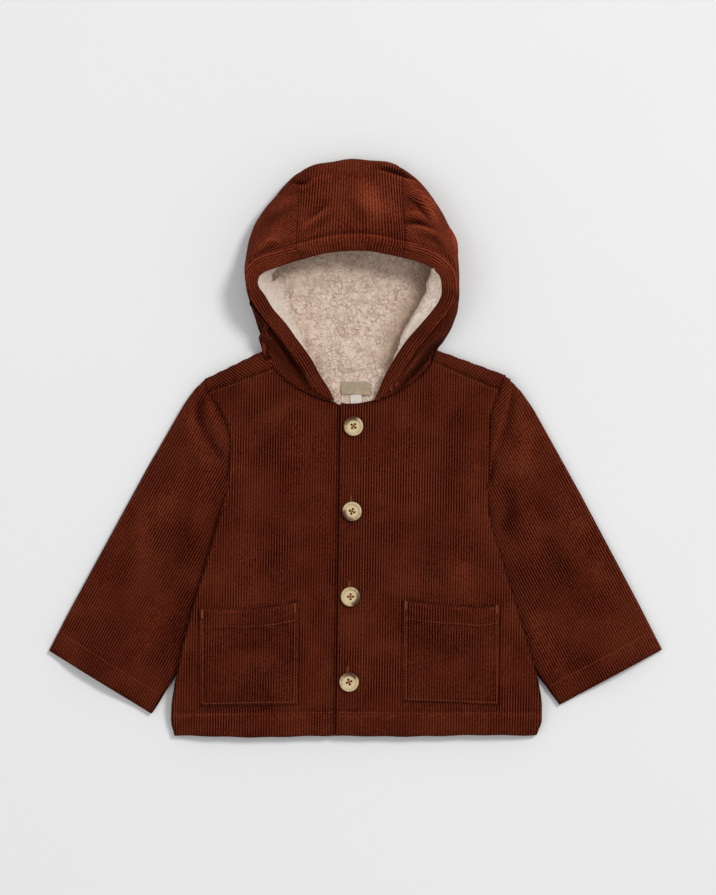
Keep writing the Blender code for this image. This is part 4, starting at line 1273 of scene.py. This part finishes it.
def make_hood_lining(grid):
    ats = np.arange(0.3, LAST - 0.25, 0.055)
    rows, walls = lining_rows(grid, ats)
    lengths = np.percentile(np.linalg.norm(rows[:, 1:] - rows[:, :-1], axis=-1), 85, axis=0)
    places = [i + np.arange(n) / n for i, n in enumerate(np.ceil(lengths / 1.3).astype(int))]
    at = np.concatenate([*places, [rows.shape[1] - 1]])
    held = smooth_grid(np.swapaxes(eased(np.swapaxes(rows, 0, 1), at), 0, 1), 8)
    inward = unit(smooth_grid(-grid_normals(held), 10)).reshape(-1, 3)
    flat = held.reshape(-1, 3)
    x, y, z = flat.T
    on_right, down = np.repeat(~on_left(ats), len(at)), np.tile(at, len(ats))
    tall = tuft_height(flat, 3.3, 1)
    # The walls inside the face edge, whose pile is smoother and gets a painted highlight.
    on_wall = np.repeat(walls, len(at)) * smooth((7.2 - down) / 6) * np.where(on_right, 0.6, 1)
    hollow, _ = polyline_distance(x, y, HOLLOW)
    # Painted shadow: in the hollow beside the right wall, and darker towards the top, under the band.
    shade = 1.3 * bump(hollow, 12) * smooth((30 - z) / 8) * smooth((y - 58) / 20) * (down > 4)
    shade = shade + 0.5 * smooth((y - 128) / 30)
    rough = 1.7 - 0.5 * on_wall + 1.2 * bump(hollow, 6) * on_right
    pile = 1.0 + 0.9 * lumps(x, y, 26, 21) * (1 - on_wall) + rough * tall
    pile = np.where(down < 1, 0.8 + 0.8 * tall, pile)
    points = flat + inward * pile[:, None]
    points[:, 2] = np.maximum(points[:, 2], 0)
    grain = np.stack([tall, on_wall, shade], -1)
    return make_mesh("hood_lining", points, grid_faces(len(ats), len(at)), grain)


def make_back_lining():
    """The pile on the back's inside, where it shows through the neck."""
    x, share = np.meshgrid(np.linspace(-60, 51, 112), np.linspace(0, 1, 44))
    y = mix(neck_y(x, FRONT_NECK) - 4, neck_y(x, BACK_NECK) + 9, share)
    p = np.stack([x, y, np.full_like(x, BACK_LINING_FOOT)], -1).reshape(-1, 3)
    tall = tuft_height(p, 4.0, 2)
    p[:, 2] += 0.4 + 1.3 * tall
    grain = np.stack([tall, tall * 0, tall * 0], -1)
    return make_mesh("back_lining", p, grid_faces(*x.shape), grain)


# ---------------------------------------------------------------- labels, stitches and buttons

BACK_PILE_TOP = 6.2
Label = namedtuple("Label", "x y width height thick droop")
NECK_LABEL = Label(0.5, 52.6, 26.5, 11.0, 0.5, -0.7)
SIZE_TAG = Label(0.5, 43.0, 10.0, 8.0, 0.4, 0.0)
UP = Vector((0, 0, 1))


def make_label(name, label):
    """A small woven label: bare, lightly curved, drooping to one side."""
    s, t = np.meshgrid(np.linspace(-1, 1, 33), np.linspace(-1, 1, 15))
    x = label.x + s * label.width / 2 - 0.2 * t
    y = label.y + t * label.height / 2 + label.droop * s * abs(s) - 0.25 * s * s
    z = BACK_PILE_TOP + 0.4 + label.thick + 0.35 * np.sin(2.1 * s + 0.6) + 0.3 * t * t
    points = np.stack([x, y, z], -1).reshape(-1, 3)
    return make_mesh(name, points, grid_faces(*s.shape), points * (1, 1, 0), label.thick)


def capsule(work, centre, along, length, radius):
    """One stitch: a short rounded bar."""
    along = along.normalized()
    side = UP.cross(along).normalized()
    up = along.cross(side)
    rings = ((-0.5, 0.0), (-0.42, 0.7), (-0.2, 1.0), (0.2, 1.0), (0.42, 0.7), (0.5, 0.0))
    sides = 6
    turns = [math.tau * k / sides for k in range(sides)]
    rows = []
    for at, wide in rings:
        outs = [(side * math.cos(turn) + up * math.sin(turn)) * radius * wide for turn in turns]
        middle = centre + along * at * length
        rows.append([work.verts.new((middle + out) * MM) for out in outs[: sides if wide else 1]])
    for low, high in zip(rows, rows[1:]):
        for k in range(sides):
            a, b = low[k % len(low)], low[(k + 1) % len(low)]
            c, d = high[(k + 1) % len(high)], high[k % len(high)]
            corners = [v for n, v in enumerate((a, b, c, d)) if v not in (a, b, c, d)[:n]]
            if len(corners) > 2:
                work.faces.new(corners)


def along_line(points, pitch):
    """(place, direction) at even steps along a polyline in plan."""
    points = np.asarray(points, float)
    lengths = np.hypot(*(points[1:] - points[:-1]).T)
    ends = np.concatenate([[0], np.cumsum(lengths)])
    out = []
    for s in np.arange(pitch / 2, ends[-1], pitch):
        x, y = np.interp(s, ends, points[:, 0]), np.interp(s, ends, points[:, 1])
        i = min(np.searchsorted(ends, s, "right") - 1, len(points) - 2)
        out.append((x, y, (points[i + 1] - points[i]) / lengths[i]))
    return out


def stitch_row(work, points, height, radius=0.36, above=0.08):
    """A stitch for every wale's width along a line."""
    for x, y, run in along_line(points, PITCH):
        step_x, step_y = run * 0.8
        z = height(x, y)
        direction = Vector((step_x, step_y, height(x + step_x, y + step_y) - z))
        capsule(work, Vector((x, y, z + above)), direction, 1.3, radius)


def mesh_of(work, name):
    mesh = bpy.data.meshes.new(name)
    work.to_mesh(mesh)
    work.free()
    mesh.polygons.foreach_set("use_smooth", [True] * len(mesh.polygons))
    return mesh


def finish_work(work, name):
    piece = add_object(name, mesh_of(work, name))
    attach(piece, "root")
    return piece


def at_points(function):
    """The same height, read at one place."""

    def height(x, y):
        return float(function(np.array([x], float), np.array([y], float))[0])

    return height


def pocket_height(pocket):
    """Height of a pocket's stitches at one place."""
    base = at_points(pocket.base)

    def height(x, y):
        return base(x, y) + POCKET_LIFT + POCKET_WALL - 0.2

    return height


# A thinner row, higher on the pile.
QUIET = {"radius": 0.3, "above": 0.27}


def make_stitches(shapes):
    """The rows along the hem, the facing, the shoulders, the pockets and the cuffs."""
    work = bmesh.new()
    over, under = at_points(over_surface), at_points(under_surface)
    hem = HEM_Y + HEM_BAND
    stitch_row(work, [(-157, hem - 2), (-120, hem - 1), (-60, hem), (-20, hem + 0.8)], under, **QUIET)
    stitch_row(work, [(-14, hem + 0.8), (4, hem + 0.4), (60, hem), (158, hem)], over, **QUIET)
    stitch_row(work, [(overlap_edge_x(y) + FACING, y) for y in np.linspace(34, HEM_Y + 3, 30)], over)
    for side, surface, sign in (("left", under, 1), ("right", over, -1)):
        seam = SHOULDERS[side].seam
        xs = np.linspace(seam.tip_x + sign * 2, seam.neck_x, 12)
        stitch_row(work, [(x, line_y(seam, x) - 2.6) for x in xs], surface, **QUIET)
    for pocket in POCKETS:
        ring, top = pocket_lines(pocket)
        height = pocket_height(pocket)
        hem_line = top - (0, POCKET_HEM)
        hem_line[0, 0] += 2
        hem_line[-1, 0] -= 2
        stitch_row(work, hem_line, height)
        low_left, low_right = ring[-1], ring[len(top)]
        path = [
            (top[0][0] + 2.6, top[0][1] - 1),
            (low_left[0] + 2.6, low_left[1] + 2.6),
            (low_right[0] - 2.6, low_right[1] + 2.6),
            (top[-1][0] - 2.6, top[-1][1] - 1),
        ]
        stitch_row(work, path, height)
    for shape in shapes:
        up = shape.axis * CUFF_BAND
        start = shape.outer[-1] - up + shape.across * 3
        end = shape.inner[-1] - up - shape.across * 2
        top = at_points(lambda x, y, s=shape: s.depths(x, y)[0] - 0.3)
        stitch_row(work, [start, end], top, **QUIET)
    return finish_work(work, "stitches")


def make_bar_tacks():
    """Dense orange-brown bars at the pockets' corners and the visible ends of the buttonholes."""
    work = bmesh.new()
    for pocket in POCKETS:
        _, top = pocket_lines(pocket)
        height = pocket_height(pocket)
        for (x, y), inward in ((top[0], 1), (top[-1], -1)):
            for k in range(9):
                spot = (x + inward * 2.4, y - 0.8 - k * 0.85)
                capsule(work, Vector((*spot, height(*spot) + 0.45)), Vector((1, 0.12, 0)), 1.5, 0.4)
    over = at_points(over_surface)
    for x, y in BUTTONHOLES:
        for sign in (-1, 1):
            for k in range(7):
                spot = (x + sign * (0.62 - 0.04 * k), y - 3.4 + k * 0.72)
                capsule(work, Vector((*spot, over(*spot) + 0.1)), Vector((1, 0.5 * sign, 0)), 1.0, 0.3)
        capsule(work, Vector((x, y + 1.8, over(x, y + 1.8) + 0.2)), Vector((1, 0, 0)), 1.9, 0.32)
    return finish_work(work, "bar_tacks")


Button = namedtuple("Button", "x y")
BUTTONS = tuple(Button(-1.8 - 1.3 * i, 19.2 - 75.2 * i) for i in range(4))
BUTTONHOLES = tuple((b.x - 0.8, b.y + 11.6) for b in BUTTONS[1:])
BUTTON_RADIUS = 8.7
BUTTON_THICK = 3.6
BUTTON_SHANK = 0.5
HOLE_RADIUS = 1.05
HOLE_SPREAD = 2.1
# How each button is turned, in radians: the first, and each one after it by this much more.
FIRST_TURN = 0.12
NEXT_TURN = 1.9
# Across and up, as shares of the button's radius and thickness: under it, round the rim, and the dish.
BUTTON_PROFILE = (
    (0, 0), (0.6, 0), (0.86, 0.14), (0.97, 0.36),
    (1, 0.58), (0.985, 0.78), (0.93, 0.93), (0.87, 0.99),
    (0.81, 1), (0.75, 0.96), (0.7, 0.85), (0.655, 0.76),
    (0.6, 0.72), (0.4, 0.68), (0, 0.66),
)


def button_mesh():
    """A turned button: a raised rounded rim, a dished face and four holes."""
    work = bmesh.new()
    points = [
        work.verts.new((out * BUTTON_RADIUS * MM, 0, up * BUTTON_THICK * MM)) for out, up in BUTTON_PROFILE
    ]
    edges = [work.edges.new(pair) for pair in zip(points, points[1:])]
    bmesh.ops.spin(
        work, geom=points + edges, cent=(0, 0, 0), axis=UP, angle=math.tau, steps=72, use_merge=True
    )
    bmesh.ops.remove_doubles(work, verts=work.verts, dist=MM / 100)
    bmesh.ops.recalc_face_normals(work, faces=work.faces)
    cut = bmesh.new()
    for i in range(4):
        made = bmesh.ops.create_cone(
            cut, cap_ends=True, segments=20, depth=4 * BUTTON_THICK * MM,
            radius1=HOLE_RADIUS * MM, radius2=HOLE_RADIUS * MM,
        )
        bmesh.ops.translate(cut, verts=made["verts"], vec=hole_direction(i) * HOLE_SPREAD * MM)
    blank = add_object("blank", mesh_of(work, "button"))
    cutter = add_object("holes", mesh_of(cut, "holes"))
    holes = blank.modifiers.new("holes", "BOOLEAN")
    holes.operation, holes.object = "DIFFERENCE", cutter
    graph = bpy.context.evaluated_depsgraph_get()
    made = bpy.data.meshes.new_from_object(blank.evaluated_get(graph))
    for thing in (blank, cutter):
        bpy.data.objects.remove(thing)
    made.polygons.foreach_set("use_smooth", [True] * len(made.polygons))
    return made


def hole_direction(i, turned=0.0):
    turn = turned + math.radians(45 + 90 * i)
    return Vector((math.cos(turn), math.sin(turn), 0))


def make_buttons():
    """The four buttons, each turned its own way, and the piece of all their threads."""
    mesh, made = button_mesh(), []
    threads = bmesh.new()
    height = at_points(over_z)
    for i, (x, y) in enumerate(BUTTONS):
        z = height(x, y) + BUTTON_SHANK
        turned = FIRST_TURN + NEXT_TURN * i
        piece = add_object(f"button_{i + 1}_turned", mesh.copy())
        piece.location = Vector((x, y, z)) * MM
        piece.rotation_euler.z = turned
        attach(piece, "root")
        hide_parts(f"button_{i + 1}")
        made.append(piece)
        for k in range(2):
            along = hole_direction(k, turned)
            beside = Vector((-along.y, along.x, 0))
            middle = Vector((x, y, z + BUTTON_THICK * 0.7 + 0.15 * k))
            for shift in (-0.26, 0.26):
                capsule(threads, middle + beside * shift, along, HOLE_SPREAD * 2 + 0.3, 0.3)
    return made, finish_work(threads, "button_threads")


# ---------------------------------------------------------------- materials


class Nodes:
    """A small helper that adds nodes to a material and links them."""

    def __init__(self, name):
        self.material = bpy.data.materials.new(name)
        self.material.use_nodes = True
        self.tree = self.material.node_tree
        self.shader = self.tree.nodes["Principled BSDF"]

    def add(self, kind, values=(), **settings):
        node = self.tree.nodes.new(kind)
        for key, value in settings.items():
            setattr(node, key, value)
        for key, value in dict(values).items():
            self.put(value, node.inputs[key])
        return node

    def put(self, value, socket):
        if isinstance(value, bpy.types.NodeSocket):
            self.tree.links.new(value, socket)
        else:
            socket.default_value = value

    def math(self, operation, a, b=0.0):
        return self.add("ShaderNodeMath", {0: a, 1: b}, operation=operation).outputs[0]

    def plus(self, a, b):
        return self.math("ADD", a, b)

    def minus(self, a, b):
        return self.math("SUBTRACT", a, b)

    def times(self, a, b):
        return self.math("MULTIPLY", a, b)

    def off(self, value, middle):
        """How far a value is from a middle one."""
        return self.math("ABSOLUTE", self.minus(value, middle))

    def place(self):
        return self.add("ShaderNodeTexCoord").outputs["Object"]

    def grain(self):
        return self.add("ShaderNodeAttribute", attribute_name="grain").outputs["Vector"]

    def split(self, vector):
        return self.add("ShaderNodeSeparateXYZ", {"Vector": vector}).outputs

    def ramp(self, value, low, high, to_low=0.0, to_high=1.0):
        node = self.add(
            "ShaderNodeMapRange",
            {"Value": value, "From Min": low, "From Max": high, "To Min": to_low, "To Max": to_high},
            interpolation_type="SMOOTHSTEP",
        )
        return node.outputs["Result"]

    def noise(self, vector, scale, detail=2.0, rough=0.5):
        node = self.add(
            "ShaderNodeTexNoise", {"Vector": vector, "Scale": scale, "Detail": detail, "Roughness": rough}
        )
        return node.outputs["Fac"]

    def blend(self, share, a, b, mode="MIX"):
        node = self.add("ShaderNodeMix", data_type="RGBA", blend_type=mode)
        self.put(share, node.inputs["Factor"])
        colours = [s for s in node.inputs if s.type == "RGBA"]
        self.put(a, colours[0])
        self.put(b, colours[1])
        return [s for s in node.outputs if s.type == "RGBA"][0]

    def stretched(self, vector, x, y, z):
        node = self.add("ShaderNodeMapping", {"Vector": vector, "Scale": (x, y, z)})
        return node.outputs["Vector"]

    def surface(self, **values):
        for key, value in values.items():
            self.put(value, self.shader.inputs[key.replace("_", " ")])

    def bumps(self, height, strength, distance):
        """Raises the surface by a height, of this many millimetres at most."""
        values = {"Height": height, "Strength": strength, "Distance": distance * MM}
        self.surface(Normal=self.add("ShaderNodeBump", values).outputs["Normal"])


def corduroy(name, deep, top, bright):
    """Wales of short pile: rounded tops with a painted highlight, dark narrow grooves that are partly the
    bare base weave and partly painted shade, nap that varies along them, and painted light and shade from
    the grain's third value.
    """
    n = Nodes(name)
    grain, place = n.grain(), n.place()
    across, _, look = n.split(grain)
    wobble = n.times(n.minus(n.noise(n.stretched(grain, 0.45, 0.16, 1), 1.0, 2), 0.5), 0.16)
    centred = n.off(n.math("FRACT", n.plus(across, wobble)), 0.5)
    groove = n.ramp(centred, 0.06, 0.32)
    nap = n.noise(n.stretched(grain, 1.6, 0.9, 1), 1.0, 3, 0.6)
    fuzz = n.noise(n.stretched(grain, 5.0, 2.2, 1), 1.0, 2, 0.6)
    patch = n.noise(place, 22, 3, 0.55)
    tone = n.ramp(n.plus(n.times(patch, 0.3), n.times(nap, 0.7)), 0.34, 0.66)
    colour = n.blend(tone, top, bright)
    even = n.ramp(n.noise(place, 36, 2, 0.5), 0.36, 0.64, 0.65, 1.0)
    # The grooves darken towards the deep colour: partly the bare base weave, partly painted shade.
    depth = n.times(n.times(groove, n.ramp(nap, 0.2, 0.75, 1.0, 0.72)), even)
    colour = n.blend(depth, colour, deep)
    speck = n.times(n.ramp(fuzz, 0.3, 0.72), n.minus(1.0, depth))
    colour = n.blend(n.times(speck, 0.3), colour, bright)
    # The look is painted light and shade, and where it is lighter the colour is also a little less red.
    red = n.math("MAXIMUM", n.plus(n.times(look, 0.42), 1.0), 0.22)
    rest = n.math("MAXIMUM", n.plus(n.times(look, 0.46), 1.0), 0.16)
    lit = n.add("ShaderNodeCombineXYZ", {"X": red, "Y": rest, "Z": rest}).outputs["Vector"]
    colour = n.blend(1.0, colour, lit, "MULTIPLY")
    # Painted highlight along each wale's top.
    painted_top_highlight = n.times(n.ramp(centred, 0.0, 0.2, 1.0, 0.0), n.ramp(nap, 0.3, 0.7, 0.15, 0.65))
    colour = n.blend(painted_top_highlight, colour, bright)
    rounded_top = n.minus(1.0, n.math("POWER", n.times(centred, 2.0), 2.4))
    n.bumps(n.plus(n.times(rounded_top, 0.55), n.times(fuzz, 0.13)), 1.0, 1.0)
    n.surface(
        Base_Color=colour,
        Roughness=0.95,
        Specular_IOR_Level=0.02,
        Sheen_Weight=0.02,
        Sheen_Roughness=0.4,
        Sheen_Tint=(0.9, 0.42, 0.26, 1),
    )
    return n.material


# The pile's dark lines, painted shade between its clumps, as a scale, a width and a depth: two sets of
# curls, then two of cells.
VALLEYS = ((130, 0.045, 1.0), (230, 0.06, 0.7), (215, 0.12, 0.95), (360, 0.14, 0.6))


def pile_lining(name):
    """Cream curled pile: thin valleys of painted shade between soft clumps, smoother where it is
    stretched, with a painted highlight on the walls inside the face edge and painted shadow in the hollow.
    """
    n = Nodes(name)
    tall, wall, shade = n.split(n.grain())
    place = n.place()
    curls = n.noise(place, 700, 3, 0.6)
    warp = n.add("ShaderNodeTexNoise", {"Vector": place, "Scale": 150.0, "Detail": 2.0}).outputs["Color"]
    bent = n.add("ShaderNodeVectorMath", {0: warp, "Scale": 0.0055}, operation="SCALE").outputs["Vector"]
    bent = n.add("ShaderNodeVectorMath", {0: place, 1: bent}, operation="ADD").outputs["Vector"]
    dark = 0.0
    for i, (scale, thin, deep) in enumerate(VALLEYS):
        if i < 2:
            off = n.off(n.noise(bent, scale, 2, 0.55), 0.5)
        else:
            values = {"Vector": bent, "Scale": scale}
            cells = n.add("ShaderNodeTexVoronoi", values, feature="DISTANCE_TO_EDGE")
            off = cells.outputs["Distance"]
        line = n.times(n.ramp(off, 0.0, thin, 1.0, 0.0), deep)
        broken = n.ramp(n.noise(n.stretched(place, 1, 1, 1 + i), 95 + 30 * i, 2), 0.42, 0.6, 0.12, 1.0)
        dark = n.math("MAXIMUM", dark, n.times(line, broken))
    cracks = n.minus(1.0, dark)
    # Painted shade in the valleys between the tufts and along the dark lines, with less of it on the
    # walls.
    valley = n.times(n.ramp(n.plus(tall, n.times(curls, 0.35)), 0.2, 0.8, 0.55, 1.0), cracks)
    valley = n.math("MAXIMUM", valley, n.times(wall, 0.66))
    colour = n.blend(valley, (0.34, 0.215, 0.15, 1), (0.7, 0.56, 0.465, 1))
    clumps = n.ramp(n.noise(place, 160, 3, 0.5), 0.4, 0.7, 0.0, 0.35)
    colour = n.blend(clumps, colour, (0.58, 0.43, 0.34, 1))
    # Painted highlight on the walls inside the face edge.
    colour = n.blend(n.times(wall, 0.45), colour, (0.74, 0.67, 0.6, 1))
    # Painted shadow in the hollow beside the right wall, and towards the top, under the band.
    colour = n.blend(n.times(shade, 0.5), colour, (0.3, 0.19, 0.13, 1))
    n.bumps(n.plus(n.times(curls, 0.6), n.times(cracks, 0.7)), 0.7, 0.9)
    n.surface(
        Base_Color=colour,
        Roughness=0.95,
        Specular_IOR_Level=0.1,
        Sheen_Weight=0.25,
        Sheen_Roughness=0.6,
        Sheen_Tint=(1.0, 0.9, 0.78, 1),
        Subsurface_Weight=0.15,
        Subsurface_Radius=(0.004, 0.0025, 0.0015),
    )
    return n.material


def woven(name, colour, dark):
    """A fine plain weave, a little blotched."""
    n = Nodes(name)
    place = n.place()
    values = {"Vector": place, "Scale": 620.0, "Distortion": 0.6, "Detail": 1.0}
    waves = [n.add("ShaderNodeTexWave", values, bands_direction=way).outputs["Fac"] for way in "XY"]
    weave = n.times(*waves)
    shade = n.blend(n.ramp(weave, 0.0, 0.8, 0.0, 0.6), dark, colour)
    shade = n.blend(n.ramp(n.noise(place, 260, 3), 0.4, 0.7, 0.0, 0.3), shade, colour)
    n.bumps(weave, 0.6, 0.2)
    n.surface(Base_Color=shade, Roughness=0.75, Specular_IOR_Level=0.2, Sheen_Weight=0.1)
    return n.material


def thread(name, colour, dark):
    """Twisted thread, its strands in two tones."""
    n = Nodes(name)
    twist = n.noise(n.place(), 1800, 2)
    n.bumps(twist, 0.4, 0.15)
    shade = n.blend(n.ramp(twist, 0.35, 0.65), dark, colour)
    n.surface(Base_Color=shade, Roughness=0.85, Specular_IOR_Level=0.06)
    return n.material


def horn(name):
    """Polished horn: cream, with brown clouds towards the rim, fine streaks and a soft gloss."""
    n = Nodes(name)
    place = n.place()
    x, y, _ = n.split(place)
    flat = n.stretched(place, 1, 1, 0)
    out = n.add("ShaderNodeVectorMath", {0: flat}, operation="LENGTH").outputs["Value"]
    cloud = n.plus(n.times(n.noise(place, 150, 3), 2.2), n.times(n.minus(y, x), 65.0))
    rim = n.ramp(out, 0.0036, 0.0064)
    clouds = n.times(n.ramp(cloud, 0.9, 1.9), n.plus(n.times(rim, 0.92), 0.05))
    streaks = n.ramp(n.noise(n.stretched(place, 1.0, 4.5, 1.0), 240, 3, 0.6), 0.35, 0.7, 0.0, 0.45)
    colour = n.blend(streaks, (0.58, 0.46, 0.27, 1), (0.45, 0.33, 0.17, 1))
    ring = n.minus(1.0, n.ramp(n.off(out, 0.0069), 0.0, 0.0007))
    colour = n.blend(n.times(ring, 0.45), colour, (0.2, 0.13, 0.06, 1))
    colour = n.blend(n.ramp(out, 0.0079, 0.0087, 0.0, 0.75), colour, (0.12, 0.07, 0.03, 1))
    colour = n.blend(clouds, colour, (0.05, 0.018, 0.007, 1))
    # Painted shade in the groove at the rim's foot.
    groove = n.minus(1.0, n.ramp(n.off(out, 0.0058), 0.0, 0.0005))
    colour = n.blend(n.times(groove, 0.4), colour, (0.3, 0.2, 0.11, 1))
    n.surface(Base_Color=colour, Roughness=0.3, Specular_IOR_Level=0.16)
    return n.material


def put_on(material, *pieces):
    for piece in pieces:
        piece.data.materials.clear()
        piece.data.materials.append(material)


# ---------------------------------------------------------------- floor, light and camera


def make_stage():
    """A wide pale floor, a hair below the coat."""
    mesh = bpy.data.meshes.new("floor")
    corners = [(x, y, -0.4 * MM) for x, y in ((-4, -4), (4, -4), (4, 4), (-4, 4))]
    mesh.from_pydata(corners, [], [(0, 1, 2, 3)])
    floor = add_object("floor", mesh)
    n = Nodes("floor_paint")
    colour = n.blend(n.noise(n.place(), 3, 2), (0.715, 0.718, 0.72, 1), (0.74, 0.743, 0.745, 1))
    n.surface(Base_Color=colour, Roughness=0.9, Specular_IOR_Level=0.1)
    put_on(n.material, floor)


def add_light(name, place, size, power, colour):
    """A round light that points at the middle of the coat."""
    light = bpy.data.lights.new(name, "AREA")
    light.shape = "DISK"
    light.size = size
    light.energy = power
    light.color = colour
    lamp = add_object(name, light)
    lamp.location = place
    lamp.rotation_mode = "QUATERNION"
    lamp.rotation_quaternion = (-Vector(place)).to_track_quat("-Z", "Y")


# In metres: the camera's height, and how much of the floor the picture's height shows.
CAMERA_HEIGHT = 5.5
FRAME_HEIGHT = 895 * 0.884 * MM


def light_and_camera():
    scene = bpy.context.scene
    world = bpy.data.worlds.new("studio")
    world.use_nodes = True
    background = world.node_tree.nodes["Background"]
    background.inputs["Color"].default_value = (1, 1, 1, 1)
    background.inputs["Strength"].default_value = 0.62
    scene.world = world
    add_light("key", (2.9, 2.7, 4.9), 1.7, 222, (1.0, 0.995, 0.985))
    add_light("fill", (-3.0, -0.6, 4.4), 3.0, 34, (0.98, 0.99, 1.0))
    camera = bpy.data.cameras.new("camera")
    camera.sensor_width = 36
    camera.lens = camera.sensor_width * CAMERA_HEIGHT / FRAME_HEIGHT
    camera.clip_start, camera.clip_end = 0.1, 20
    eye = add_object("camera", camera)
    eye.location = (2.2 * MM, 0.4 * MM, CAMERA_HEIGHT)
    scene.camera = eye
    scene.view_settings.view_transform = "Standard"
    scene.view_settings.look = "None"


def main():
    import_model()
    make_stage()
    light_and_camera()

    back = make_back()
    front_left = make_front("front_left", "left", under_surface)
    front_right = make_front("front_right", "right", over_surface)
    shapes = [SleeveShape(name) for name in SLEEVES]
    sleeves = [make_sleeve(shape) for shape in shapes]
    pockets = [make_pocket(pocket) for pocket in POCKETS]
    grid = HoodGrid()
    centre = make_hood_centre(grid)
    side_left = make_hood_side(grid, "hood_side_left", CHIN_GAP, LEFT_SEAM)
    side_right = make_hood_side(grid, "hood_side_right", RIGHT_SEAM, LAST - CHIN_GAP)
    hood_lining = make_hood_lining(grid)
    back_lining = make_back_lining()
    label = make_label("neck_label", NECK_LABEL)
    tag = make_label("size_tag", SIZE_TAG)
    stitches = make_stitches(shapes)
    tacks = make_bar_tacks()
    buttons, threads = make_buttons()

    rust = corduroy(
        "rust_corduroy",
        deep=(0.011, 0.0001, 0.0, 1),
        top=(0.04, 0.0016, 0.0, 1),
        bright=(0.142, 0.0288, 0.0122, 1),
    )
    put_on(rust, back, front_left, front_right, *sleeves, *pockets, centre, side_left, side_right)
    put_on(pile_lining("cream_pile"), hood_lining, back_lining)
    put_on(woven("beige_weave", (0.52, 0.43, 0.31, 1), (0.3, 0.23, 0.15, 1)), label)
    put_on(woven("white_weave", (0.8, 0.77, 0.72, 1), (0.55, 0.5, 0.45, 1)), tag)
    put_on(thread("rust_thread", (0.28, 0.08, 0.03, 1), (0.16, 0.038, 0.013, 1)), stitches)
    put_on(thread("orange_thread", (0.33, 0.105, 0.028, 1), (0.13, 0.035, 0.01, 1)), tacks, threads)
    put_on(horn("horn"), *buttons)


main()
